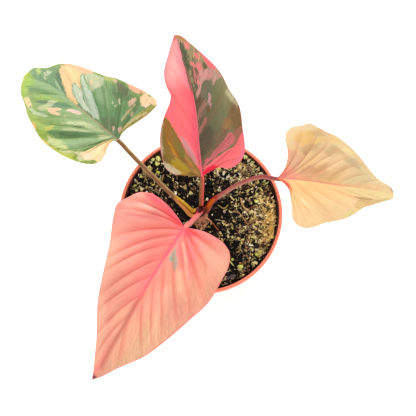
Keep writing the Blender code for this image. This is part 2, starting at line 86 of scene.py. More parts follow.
# Larger bits on the soil, each (across, down, length, width, turn in degrees, colour), and bent sticks,
# each (points, radius, colour). A place is a pixel of the photograph, read off it one by one, except for the
# last five bits, and on_soil carries it to the soil. Sizes are in millimetres.
SOIL_CHUNKS = [
    (247, 155, 3.7, 2.9, -20, (222, 226, 150)), (256, 201, 3.7, 2.9, 0, (232, 230, 140)),
    (262, 201, 2.4, 3.7, -5, (216, 190, 120)), (244, 202, 2.5, 1.6, 0, (236, 228, 196)),
    (261, 215, 3.3, 2.9, -30, (222, 206, 160)), (255.5, 213.5, 2.2, 4.1, 20, (216, 196, 146)),
    (240.5, 266.5, 4.1, 3.1, 0, (206, 216, 110)), (240.5, 262.5, 2.2, 1.8, 0, (206, 150, 90)),
    (232.5, 259.5, 1.9, 1.9, 0, (184, 206, 90)), (253, 237, 3.3, 2.2, -20, (190, 186, 84)),
    (233, 237.5, 3.3, 1.6, -10, (196, 206, 130)), (228, 225, 5.2, 1.6, 15, (234, 206, 152)),
    (249, 200.5, 5.2, 2.4, 0, (150, 104, 86)), (261, 173.5, 3.3, 1.8, 0, (232, 220, 160)),
    (253, 208, 3.7, 1.5, 0, (120, 70, 56)), (262, 247, 2.2, 1.8, 0, (206, 170, 90)),
    (214.5, 171, 3.7, 1.6, 60, (206, 176, 130)), (218, 174, 3.7, 1.5, -60, (226, 214, 190)),
    (221.5, 178, 3.3, 1.6, -20, (216, 206, 176)), (224, 173, 3.7, 1.5, -100, (232, 224, 206)),
    (228, 177, 3.3, 1.5, 30, (222, 214, 190)), (232, 172, 4.1, 1.5, -70, (234, 226, 208)),
    (234.5, 176, 3.3, 1.5, -120, (224, 212, 186)), (238, 178.5, 3.3, 1.6, -20, (210, 190, 150)),
    (232.5, 180, 2.9, 1.5, 0, (206, 196, 170)), (239.5, 174, 2.9, 1.3, -45, (226, 216, 196)),
    (226, 168.5, 2.9, 1.3, -10, (216, 200, 160)), (257, 158, 2.9, 2.2, 0, (196, 196, 120)),
    (252, 165, 2.9, 2.2, -30, (206, 206, 150)), (262, 165, 2.5, 1.9, 0, (216, 206, 160)),
    (258, 170, 2.5, 1.8, -10, (206, 196, 130)), (241, 165, 3.7, 1.5, 30, (176, 130, 80)),
    (219, 190, 2.9, 2.2, 0, (200, 194, 150)), (213, 184, 2.2, 1.8, 0, (190, 196, 90)),
    (224.5, 211.5, 1.8, 2.9, -10, (206, 170, 140)), (242, 218, 2.2, 1.5, 0, (180, 150, 100)),
    (231, 277, 8.1, 2.9, 20, (84, 74, 74)), (269, 214, 2.9, 2.2, 0, (222, 190, 90)),
    (272, 228, 3.7, 2.2, -60, (226, 180, 80)), (274, 237, 2.9, 2.2, -30, (220, 190, 100)),
    (268, 240, 2.9, 2.2, 0, (214, 184, 100)), (258, 254, 3.7, 2.9, 0, (196, 196, 90)),
    (157, 164, 3.7, 2.9, 0, (226, 222, 130)), (153, 160, 2.9, 2.9, 0, (232, 228, 140)),
    (158, 172, 2.9, 2.2, 0, (206, 216, 80)), (150, 170, 2.9, 2.2, 0, (180, 180, 90)),
    (141, 176.8, 2.4, 2, 20, (220, 222, 130)), (135, 185.6, 2.6, 1.8, 0, (196, 204, 96)),
    (131.9, 191.4, 2.2, 1.8, -30, (206, 208, 130)), (153.7, 183.6, 3.4, 2.2, 20, (232, 214, 110)),
    (158.2, 158.7, 3, 4, 0, (236, 236, 140)),
]
SOIL_STICKS = [
    ([(240.5, 198), (243, 206), (248, 211), (253, 211.5)], 0.63, (196, 156, 104)),
    ([(238, 211), (244, 219), (248, 225)], 0.41, (176, 130, 86)),
    ([(245, 231), (248, 229), (252, 225)], 0.59, (112, 88, 80)),
    ([(229, 195), (234, 200.5)], 0.55, (222, 206, 140)),
    ([(269, 193), (270.5, 202)], 0.44, (140, 90, 66)),
    ([(218, 205), (224, 208.5), (229, 204)], 0.37, (176, 150, 80)),
    ([(229, 260), (233.5, 265.5)], 0.48, (206, 196, 120)),
    ([(236, 170), (241, 163)], 0.44, (170, 120, 70)),
    ([(216, 168), (219, 176)], 0.44, (216, 186, 150)),
    ([(262, 225), (262, 232)], 0.44, (210, 190, 120)),
]
SEEN_SOIL_HEIGHT = 88.0
STICK_RINGS = 22
STICK_SIDES = 8

# Colours of the loose bits, which run from bit to bit, each (share of the bits, colour)
PEAT_TONES = [(0.0, (6, 4, 3)), (0.5, (18, 13, 10)), (0.85, (44, 33, 24)), (1.0, (104, 82, 58))]
CHIP_TONES = [(0.0, (96, 68, 54)), (0.25, (150, 116, 80)), (0.5, (210, 182, 124)),
              (0.72, (208, 202, 114)), (0.9, (250, 236, 182)), (1.0, (255, 252, 224))]
FIBRE_TONES = [(0.0, (84, 58, 50)), (0.4, (146, 110, 84)), (0.75, (204, 180, 124)),
               (1.0, (240, 232, 180))]
PALE_TONES = [(0.0, (196, 176, 124)), (0.5, (214, 204, 132)), (1.0, (238, 228, 184))]

# Stem
STEM_FOOT = (0.3, -6.2, SOIL_LEVEL)
CROWN_CENTRE = (-0.3, -1.8, SOIL_LEVEL + 11.0)
CROWN_RADIUS = 4.5
STEM_RADIUS = 5.6
STEM_BURIED = 8.0
STEM_RINGS = 96
STEM_STEPS = 96
CROWN_START = 0.62  # share of the rings that are below the crown
ROOT_PATH = [(2.4, -4.0, 96.2), (4.4, -5.4, 96.2), (8.2, -8.2, 93.8), (12.7, -12.6, 89.0)]
ROOT_RADIUS = (0.75, 0.32)
ROOT_RINGS = 40
ROOT_SIDES = 12
ROOT_TONES = [(0.0, (232, 176, 144)), (0.35, (210, 128, 92)), (0.6, (150, 72, 48)),
              (1.0, (190, 106, 76))]

# Stalks. The groove is how wide the sheath's hollow is, as a share of the sheath's half width.
STALK_STATIONS = 110
STALKS = {
    "left": {
        "leaves_crown": (-0.95, -0.1, 0.3),
        "path": [(-11.1, 0.4, 106.5), (-20.1, 6.0, 118.0), (-28.3, 12.0, 126.5), (-39.5, 20.9, 137.0),
                 (-48.4, 28.7, 144.5)],
        "radius": (1.65, 1.5),
        "sheath": {"width": 3.4, "length": 27.0, "groove": 0.2},
        "groove_faces": (0.3, -0.3, 1.0),
    },
    "back": {
        "leaves_crown": (0.08, 0.8, 0.6),
        "path": [(0.5, 1.3, 112.0), (0.7, 2.8, 128.0), (1.2, 3.5, 148.0)],
        "radius": (1.7, 1.45),
        "sheath": {"width": 1.8, "length": 12.0, "groove": 0.3},
        "groove_faces": (0.1, -1.0, 0.2),
    },
    "right": {
        "leaves_crown": (0.75, 0.25, 0.6),
        "path": [(6.7, 2.2, 107.0), (9.5, 3.5, 114.0), (12.9, 4.2, 120.0), (16.9, 5.3, 125.5),
                 (25.1, 8.5, 133.0), (33.4, 10.2, 139.5), (41.5, 10.7, 144.5)],
        "radius": (1.6, 1.45),
        "sheath": {"width": 2.9, "length": 25.0, "groove": 0.7},
        "groove_faces": (-0.8, -0.2, 0.55),
    },
    "front": {
        "leaves_crown": (-0.05, -0.1, 1.0),
        "path": [(-1.0, -4.6, 107.5), (-2.8, -10.0, 118.0), (-5.0, -15.4, 129.0), (-7.1, -20.5, 139.0)],
        "radius": (1.65, 1.7),
        "sheath": {"width": 2.4, "length": 14.0, "groove": 0.75},
        "groove_faces": (0.0, 1.0, 0.3),
    },
}

# Blades. The outline is flat, as (distance along the midrib, distance across it), positive to the
# left of somebody who looks towards the tip. Veins up to notch_reach lean over to follow the notch.
ROWS_PER_VEIN = 20
COLUMN_COUNT = 38
BLADE_THICKNESS = 0.45
MIDRIB_HEIGHT = 1.3
MIDRIB_WIDTH = 1.6
FIT_POINTS = 14  # points of the blade that place a pixel on it
BLADES = {
    "front": {
        "midrib": [(-10, -26, 152), (-25, -51.5, 158), (-39.5, -75, 153), (-55, -97.5, 137),
                   (-72, -121, 114)],
        "notch_reach": 2.2,
        "roll": 0.0,
        "fold": (0.14, 0.14),
        "sag": (0.12, 0.12),
        "veins": [0, 0, 2, 6, 14, 25, 38, 52, 69],
        "quilt": 1.7,
        "wave": (0.8, 3.0, 0.2),
        "left": {
            "vein_ends": [0.12, 0.24, 0.33, 0.41, 0.49, 0.575, 0.63, 0.69, 0.845],
            "vein_bend": -6.0,
            "notch": [(0, 0), (-3.4, 9.5), (-4.3, 16), (-4, 26)],
            "edge": [(-4, 26), (0, 33.5), (8, 37.5), (18, 38.5), (36, 38.5), (49, 34.5), (63, 30),
                     (84, 22.5), (104, 12), (120, 4.5), (127.3, 0)],
        },
        "right": {
            "vein_ends": [0.12, 0.19, 0.33, 0.425, 0.48, 0.59, 0.66, 0.775, 0.895],
            "vein_bend": 13.0,
            "notch": [(0, 0), (-4.2, -8.4), (-8, -20), (-9.2, -30.5)],
            "edge": [(-9.2, -30.5), (-5.5, -38), (1, -42), (9, -45.5), (18.5, -42.5), (36, -34.5),
                     (57, -27), (77, -20.4), (97, -10.4), (113, -4.5), (127.3, 0)],
        },
    },
    "back": {
        "midrib": [(1.5, 4, 166), (-0.5, 21, 186), (-2.5, 37, 203), (-7, 54, 216), (-14.6, 74.5, 222.4)],
        "notch_reach": 2.2,
        "roll": 4.0,
        "fold": (0.35, 0.15),
        "sag": (0.15, 0.05),
        "veins": [0, 2, 8, 19, 33, 52, 68],
        "quilt": 0.7,
        "wave": (0.7, 2.0, 0.4),
        "left": {
            "vein_ends": [0.14, 0.3, 0.44, 0.55, 0.68, 0.83, 0.93],
            "vein_bend": 3.0,
            "notch": [(0, 0), (2.2, 6.2), (4.5, 11), (7, 17)],
            "edge": [(7, 17), (13, 22.5), (23, 24.3), (35, 23.9), (49, 20.2), (57, 15.2), (61, 13.8),
                     (67, 15.1), (75, 14.1), (85, 7.4), (91.5, 2.6), (94.6, 0)],
        },
        "right": {
            "vein_ends": [0.12, 0.24, 0.36, 0.48, 0.62, 0.73, 0.86],
            "vein_bend": 6.0,
            "notch": [(0, 0), (2.5, -3.4), (6, -11), (4.6, -16), (5.2, -20.5)],
            "edge": [(5.2, -20.5), (9, -25), (16, -28), (34, -27.5), (46, -26.5), (56, -21.8),
                     (66, -18.7), (78, -11.9), (88, -6.4), (92.6, -3.5), (94.6, 0)],
        },
    },
    "left": {
        "midrib": [(-55, 35, 150), (-71, 48, 153), (-88, 64, 147), (-108.5, 85, 129), (-135, 104.5, 101)],
        "notch_reach": 2.2,
        "roll": 0.0,
        "fold": (0.12, 0.12),
        "sag": (0.1, 0.1),
        "veins": [0, 2, 5, 11, 20, 36, 54, 75],
        "quilt": 1.0,
        "wave": (0.9, 2.5, 0.1),
        "left": {
            "vein_ends": [0.14, 0.22, 0.33, 0.45, 0.53, 0.69, 0.79, 0.89],
            "vein_bend": 6.0,
            "notch": [(0, 0), (2.4, 3.2), (2.4, 8), (0.3, 13), (-1, 19)],
            "edge": [(-1, 19), (1.5, 23.5), (6.5, 27.3), (18, 32), (32, 34), (41, 33.3), (51, 30.7),
                     (68, 26.9), (84, 22.7), (103, 15.1), (114.4, 7.8), (122.9, 0)],
        },
        "right": {
            "vein_ends": [0.09, 0.22, 0.4, 0.53, 0.63, 0.7, 0.77, 0.87],
            "vein_bend": 6.0,
            "notch": [(0, 0), (1, -6.8), (-1.6, -17.3), (-3.8, -27), (-4.2, -36)],
            "edge": [(-4.2, -36), (0, -38.3), (8, -37.7), (20, -34.7), (32, -31.8), (41, -28.5), (53, -27),
                     (68, -24), (85, -17.8), (98, -12), (111, -10.6), (119.4, -8.3), (122.9, 0)],
        },
    },
    "right": {
        "midrib": [(51, 8.6, 150), (70, 6.2, 152), (90, 6, 143), (114, 9, 123), (141.7, 12.6, 95.3)],
        "notch_reach": 4.0,
        "roll": -8.0,
        "fold": (0.1, 0.02),
        "sag": (0.1, 0.15),
        "veins": [0, 2, 4, 10, 18, 30, 44, 64],
        "quilt": 0.8,
        "wave": (0.9, 2.5, 0.6),
        "left": {
            "vein_ends": [0.157, 0.33, 0.505, 0.59, 0.66, 0.73, 0.81, 0.87],
            "vein_bend": 11.0,
            "notch": [(0, 0), (2.5, 1.9), (4.6, 5.6), (5.6, 12), (4.2, 22), (2.3, 29)],
            "edge": [(2.3, 29), (2.1, 33.8), (5, 39.2), (14, 41.3), (27, 43.5), (34, 42.2), (55, 42.6),
                     (62.6, 41.4), (76, 27.5), (92, 13.9), (101, 9.5), (108.5, 7.4), (112.8, 4.8), (113, 0)],
        },
        "right": {
            "vein_ends": [0.06, 0.11, 0.165, 0.33, 0.47, 0.7, 0.8, 0.88],
            "vein_bend": 12.0,
            "notch": [(0, 0), (2.6, -1.4), (5.6, -3.2), (8.6, -6.6), (10.2, -12), (12, -20.5), (12.8, -27)],
            "edge": [(12.8, -27), (15, -30.8), (19, -32.8), (24, -31.7), (31, -28.1), (46, -23.8),
                     (64, -15.9), (78, -11.9), (94, -7.8), (105.4, -5), (110.8, -2.8), (113, 0)],
        },
    },
}


def patch(colour, soft, jag, cover, half, outline, broken=0.0):
    """A patch of leaf colour, outlined on one half of the blade or on both.

    soft and jag say in millimetres how its border is, cover how strongly it covers, and broken
    the share of it that streaks break up.
    """
    return {
        "colour": colour,
        "soft": soft,
        "jag": jag,
        "cover": cover,
        "half": half,
        "outline": outline,
        "broken": broken,
    }


# The patches of each leaf. An outline was read from the photograph, in its pixels across and down,
# and on_blade carries it to the blade. A flat outline is in the blade's own millimetres, like the edge.
# The colours were set one by one, guided by averages of the photograph's own. A later patch lies over an
# earlier one.
FRONT_PATCHES = [
    patch((216, 134, 122), 6, 1.5, 0.9, "right", [(106, 202), (125, 194), (146, 196), (160, 206),
          (167, 214), (152, 222), (132, 225), (108, 230), (104, 214)]),
    patch((253, 122, 122), 6, 1.5, 0.85, "left", [(182, 226), (202, 230), (216, 240), (197, 262),
          (188, 278), (180, 264), (174, 252), (180, 238)]),
    patch((247, 132, 128), 2.5, 1, 0.7, "left", [(190, 227), (206, 229), (221, 237), (231, 249),
          (214, 244), (200, 239), (189, 234)]),
    patch((240, 128, 118), 5, 2, 0.55, "right", [(112, 232), (135, 226), (160, 230), (172, 238),
          (168, 250), (150, 246), (128, 244), (114, 240)]),
    patch((232, 152, 128), 7, 2, 0.6, "right", [(98, 300), (112, 272), (128, 268), (136, 285), (132, 310),
          (120, 330), (108, 352), (98, 350)]),
    patch((255, 180, 152), 5, 2, 0.55, "left", [(198, 240), (215, 245), (226, 258), (224, 275),
          (212, 272), (202, 262), (196, 250)]),
    patch((252, 178, 150), 6, 2, 0.5, "both", [(140, 300), (152, 292), (170, 284), (180, 290), (172, 312),
          (150, 325), (136, 330)]),
    patch((251, 78, 94), 2, 0.8, 0.85, "left", [(182, 226), (190, 228), (199, 235), (191, 237),
          (183, 236)]),
    patch((238, 186, 144), 8, 3, 0.75, "left", [(108, 374), (120, 354), (135, 335), (150, 322),
          (165, 315), (173, 325), (160, 346), (140, 361), (122, 373)]),
    patch((222, 162, 122), 3, 2, 0.6, "left", [(116, 364), (124, 352), (132, 350), (128, 360),
          (118, 369)]),
    patch((224, 168, 126), 3, 2, 0.5, "left", [(136, 340), (146, 326), (152, 328), (146, 342),
          (140, 346)]),
    patch((224, 150, 126), 4, 2, 0.6, "left", [(159, 314), (179, 288), (181, 305), (172, 326),
          (161, 332)]),
    patch((228, 160, 130), 4, 2, 0.5, "left", [(205, 270), (212, 255), (224, 262), (224, 280), (210, 302),
          (199, 312), (196, 296)]),
    # Painted highlights: two pale streaks where the light glints along the blade.
    patch((246, 176, 150), 1.3, 0.8, 0.7, "left", [(181, 243), (184, 242), (187.5, 262), (187.5, 300),
          (184, 302), (184, 270)]),
    patch((240, 176, 150), 1.2, 0.8, 0.7, "left", [(202, 257), (206, 256), (211, 266), (215, 277),
          (211, 277), (206, 268)]),
    patch((240, 170, 146), 1.2, 0.8, 0.7, "left", [(204, 243), (218, 249), (226, 259), (218, 257),
          (208, 250)]),
    patch((255, 188, 158), 1.5, 0.8, 0.6, "left", [(163, 290), (167, 288), (160, 318), (152, 336),
          (148, 340), (156, 316)]),
    patch((240, 150, 126), 2, 1, 0.6, "left", [(196, 262), (200, 262), (206, 282), (204, 300), (199, 296),
          (198, 280)]),
    patch((252, 80, 94), 2.4, 0.8, 0.85, "right", [(186, 230), (181, 216), (171, 205), (150, 190),
          (140, 187), (146, 197), (158, 207), (168, 217), (177, 228)]),
    patch((206, 100, 98), 2, 1.2, 0.7, "right", [(124, 206), (135, 208), (150, 213), (170, 223),
          (178, 229), (126, 215)]),
    # Painted highlight on the top of the upper lobe.
    patch((240, 180, 164), 1.8, 0.8, 0.65, "right", [(138, 202), (147, 203), (156, 209), (150, 210),
          (140, 206)]),
    patch((236, 118, 104), 4.5, 1.5, 0.5, "right", [(148, 226), (164, 224), (174, 234), (173, 250),
          (160, 264.5), (148, 278), (144, 250)]),
    patch((254, 184, 148), 5, 2, 0.6, "right", [(114, 308), (130, 304), (140, 322), (132, 345),
          (112, 362), (108, 340)]),
    patch((254, 178, 154), 2.5, 1, 0.6, "right", [(124, 204), (140, 203), (152, 208), (150, 214),
          (136, 213), (124, 211)]),
    patch((254, 188, 152), 2.5, 1, 0.55, "left", [(174, 272), (186, 270), (188, 290), (176, 294)]),
    patch((206, 136, 110), 3, 1, 0.5, "left", [(206, 286), (224, 278), (222, 298), (204, 308)]),
    patch((248, 178, 148), 4, 2, 0.8, "right", [(92, 282), (104, 298), (108, 330), (104, 356), (92, 366),
          (88, 320)]),
    patch((194, 104, 86), 1.8, 0.6, 0.8, "right", [(146, 292), (108, 358), (103, 369), (100, 366),
          (112, 342), (138, 298)]),
    patch((153, 161, 139), 0.35, 0.8, 0.95, "flat", [(14, 2), (24, 2.5), (26, 4), (25, 5.5), (29, 9),
          (30, 10.5), (26, 10), (22, 7.5), (18, 4)]),
    patch((94, 41, 63), 1.2, 0.5, 0.95, "flat", [(129, -3), (123, -3), (122.5, 3), (129, 3)]),
]
BACK_PATCHES = [
    patch((255, 182, 176), 8, 1, 0.95, "left", [(174, 37), (170, 50), (166, 62), (164, 74), (167, 82),
          (173, 84), (180, 80), (183, 72), (180, 58), (177, 46), (176, 39)]),
    patch((254, 150, 160), 2.5, 1, 0.7, "left", [(176, 40), (180, 52), (184, 66), (187, 78), (190, 88),
          (184, 84), (180, 70), (177, 55)]),
    patch((242, 80, 102), 2.5, 0.6, 0.7, "left", [(193, 110), (196, 130), (198, 150), (201, 172),
          (197, 166), (194, 150), (191, 130)]),
    patch((252, 96, 112), 3, 1, 0.6, "left", [(172, 108), (176, 120), (184, 134), (178, 132),
          (170, 118)]),
    patch((246, 110, 98), 0.5, 0.8, 0.95, "left", [(165, 113), (170, 119), (177, 129), (183, 140),
          (190, 152), (197, 163), (200, 172), (192, 164), (184, 152), (176, 136), (168, 124),
          (163, 118)]),
    patch((216, 140, 140), 0.9, 1, 0.9, "left", [(179, 135), (184, 138), (190, 146), (195, 155),
          (199, 166), (195, 165), (189, 156), (183, 146)]),
    patch((196, 142, 134), 0.5, 0.8, 0.8, "left", [(182, 140), (186, 144), (192, 153), (197, 163),
          (193, 160), (187, 151)], 0.15),
    patch((128, 103, 18), 0.35, 0.8, 1, "left", [(162, 116), (167, 119), (170, 123), (174, 130),
          (179, 138), (183, 146), (187, 154), (193, 161), (199, 169), (202, 180), (190, 181), (178, 179),
          (168, 177), (162, 168), (157, 155), (156, 140), (158, 126)]),
    patch((152, 98, 0), 1.4, 1.2, 0.95, "left", [(163.5, 121), (169, 123), (173, 133), (177, 144),
          (180, 156), (173, 156), (167, 144), (164.5, 132)]),
    patch((124, 110, 34), 1.2, 1, 0.8, "left", [(171, 129), (177, 139), (183, 150), (190, 161),
          (184, 160), (178, 153), (174, 143)]),
    patch((204, 144, 6), 0.5, 1.2, 0.9, "left", [(169, 142), (173, 147), (177, 156), (182, 164),
          (178, 162), (172, 152)], 0.3),
    patch((176, 144, 4), 1.3, 1, 0.9, "left", [(172, 160), (178, 159), (186, 165), (191, 172), (184, 175),
          (175, 173), (171, 166)]),
    patch((188, 126, 62), 0.5, 0.8, 0.7, "left", [(184, 153), (189, 159), (198, 170), (200, 177),
          (193, 172), (186, 162)], 0.25),
    patch((200, 164, 140), 0.9, 0.8, 0.9, "left", [(161, 117), (163, 124), (161.5, 134), (162.5, 146),
          (164, 155), (161, 158), (157, 150), (154, 140), (157, 126)]),
    patch((116, 82, 36), 0.8, 0.8, 0.85, "left", [(163, 152), (166, 158), (168, 166), (172, 172),
          (166, 170), (163, 163)]),
    patch((206, 190, 150), 1, 0.8, 0.85, "left", [(163, 161), (168, 164), (175, 168), (181, 173),
          (174, 177), (165, 173), (161, 167)]),
    # Painted highlight on the ochre lobe, where it curves down.
    patch((232, 222, 200), 1.2, 0.6, 0.75, "left", [(165, 169), (170, 170.5), (176, 174.5), (170, 178),
          (164, 174)]),
    patch((250, 84, 96), 0.8, 0.5, 0.9, "left", [(172.5, 40), (173, 36), (175, 33), (175.5, 38),
          (174.5, 41)]),
    patch((160, 142, 102), 0.5, 1.2, 1, "right", [(177, 32), (186, 36), (196, 44), (206, 54), (212, 62),
          (212, 70), (204, 71), (198, 72), (200, 90), (197, 100), (192, 90), (188, 74), (184, 60),
          (180, 46)]),
    patch((98, 104, 74), 0.4, 1.6, 0.95, "right", [(178, 34), (188, 34), (198, 44), (206, 54), (210, 66),
          (202, 70), (194, 70), (188, 58), (181, 44)], 0.5),
    patch((218, 162, 120), 0.5, 1.6, 0.85, "right", [(177, 33), (184, 33), (190, 42), (200, 52),
          (206, 62), (200, 66), (193, 58), (184, 48), (178, 42)], 0.62),
    patch((188, 122, 62), 0.5, 0.8, 0.95, "right", [(174.5, 33), (180, 33), (186, 38), (192, 43),
          (190, 44.5), (184, 40.5), (179.5, 39), (175.5, 38)]),
    patch((86, 88, 62), 0.4, 1.3, 1, "right", [(178, 40), (183, 44), (186, 52), (189, 60), (190, 66),
          (188, 70), (190, 79), (195, 90), (196, 98), (192, 94), (188, 80), (184, 64), (180, 48)]),
    patch((96, 94, 68), 0.4, 1.2, 1, "right", [(190, 66), (194, 67), (198, 67), (199, 74), (199, 86),
          (196, 97), (194, 92), (193, 82), (191, 74)]),
    patch((222, 120, 118), 0.35, 0.9, 0.95, "right", [(193.5, 69), (195.5, 70), (196, 78), (195.5, 84),
          (194, 80)], 0.2),
    patch((236, 124, 120), 0.4, 1, 1, "right", [(191.5, 61.5), (195.5, 64.5), (200, 61), (202, 66),
          (204, 70), (202, 73), (199, 78), (200, 90), (197, 98), (198, 84), (198, 69), (193, 66),
          (190, 63)]),
    patch((246, 126, 120), 0.35, 0.8, 1, "right", [(183.5, 41.5), (187, 42), (189.3, 47.5), (188, 50),
          (185.5, 46.5)]),
    patch((242, 118, 116), 0.35, 0.6, 1, "right", [(194.5, 53), (197, 53.5), (198.5, 58.5), (196, 59)]),
    patch((104, 96, 64), 0.35, 0.8, 0.95, "right", [(202.5, 61), (206, 64), (207.5, 67), (204.5, 71),
          (202.8, 68)]),
    patch((250, 112, 116), 0.5, 0.7, 0.95, "right", [(198, 45), (206, 52), (215, 60), (224, 71),
          (217, 73), (211, 70), (208, 66), (204, 59.5), (199.5, 53)]),
    patch((208, 143, 135), 0.4, 0.9, 1, "right", [(199, 71), (204, 69.5), (210, 68.5), (214, 71),
          (212.5, 77), (210, 80.5), (205, 80.5), (202, 84), (200, 92), (197.5, 99), (196.5, 96),
          (199, 86)]),
    patch((192, 146, 128), 0.6, 1, 0.95, "right", [(211, 68.5), (218, 69), (223, 77), (216, 79),
          (213, 87), (211.5, 81), (213, 75)]),
    patch((104, 110, 84), 1, 1, 0.9, "right", [(204, 80.5), (211, 80.5), (213, 87), (211, 96), (208, 106),
          (204, 111), (200, 118), (196, 120), (196, 108), (200, 96), (202, 88)]),
    patch((92, 72, 48), 1.4, 1, 0.95, "right", [(196, 100), (200, 96), (203, 99), (201, 107),
          (197, 113)]),
    patch((156, 106, 90), 0.4, 1, 0.9, "right", [(202.5, 101.5), (205.3, 99.5), (206.3, 103),
          (204.5, 108), (202, 114), (199, 119), (198, 123), (195.5, 121), (198, 114), (200, 108)]),
    patch((140, 102, 88), 0.4, 0.9, 0.85, "right", [(206, 107), (208, 110), (204, 116), (199, 122),
          (197.5, 119), (202, 113.5)], 0.15),
    patch((200, 142, 142), 0.35, 0.7, 0.95, "right", [(208.5, 93), (211, 94), (210.6, 100), (211.6, 105),
          (210.3, 109), (208, 102)]),
    patch((112, 80, 44), 0.5, 0.8, 0.9, "right", [(205.8, 107), (209.5, 105.5), (210.5, 114),
          (207, 113)]),
    patch((176, 108, 96), 0.35, 0.7, 0.9, "right", [(205, 117.5), (207.6, 116.5), (206.5, 122),
          (203.5, 128), (200.5, 134), (198, 139), (198.8, 130), (202, 125)]),
    patch((170, 104, 102), 0.4, 0.7, 0.85, "right", [(196, 119), (198.3, 121), (198.5, 132), (199, 142),
          (197.5, 141), (196.8, 130)]),
    patch((82, 74, 52), 2.2, 1, 0.9, "right", [(199, 140), (204, 128), (210, 126), (214, 131), (212, 142),
          (206, 152), (202, 160), (201, 165), (199, 155)]),
    patch((122, 88, 46), 2.4, 1.2, 0.85, "right", [(230, 103), (238, 99), (246, 112), (246, 127),
          (237, 131), (232, 130), (229, 122), (229, 112)]),
    patch((154, 112, 62), 1.2, 1, 0.75, "right", [(222, 122.5), (226, 117.5), (229.5, 117.5),
          (232.5, 122), (231, 129), (227, 129), (223, 128)]),
    patch((124, 90, 64), 0.8, 1, 0.9, "right", [(200, 162), (206, 155), (214, 147), (219, 138),
          (223, 130), (229, 128.5), (226, 136), (222, 143), (216, 150), (208, 159), (202, 166)]),
    patch((160, 98, 74), 0.5, 0.8, 0.95, "right", [(234, 133), (238, 127.5), (247, 124), (246, 133),
          (240, 137), (238, 143), (234, 146), (232.5, 142)]),
    patch((206, 104, 106), 0.4, 0.8, 1, "right", [(202, 167), (206, 160), (212, 154), (218, 147),
          (222, 142), (226, 138), (227, 134), (230, 132), (233, 133.5), (234.5, 138), (233, 143.5),
          (228, 148), (222, 152), (214, 158), (208, 163), (203, 170)]),
    patch((255, 110, 114), 0.35, 0.7, 1, "right", [(249, 128), (242, 133), (239, 138), (236.5, 144.5),
          (229, 149.5), (222, 153.5), (214, 159.5), (206, 166), (202, 172), (202, 178), (210, 174),
          (222, 173), (238, 171), (249, 163), (253, 148)]),
    patch((250, 116, 138), 1.8, 0.8, 0.8, "right", [(246, 134), (243, 145), (240, 155), (234, 162),
          (242, 162), (252, 150)]),
    patch((254, 18, 64), 0.5, 0.4, 1, "right", [(202, 172), (207, 167.5), (213, 164.8), (220, 167),
          (215, 170), (208, 174), (204, 178), (201, 180)]),
    # Painted highlight along the right edge.
    patch((214, 202, 158), 1.4, 0.8, 0.65, "right", [(227, 88), (232, 94), (239, 104), (236.5, 106),
          (230, 100), (225.5, 93)]),
]
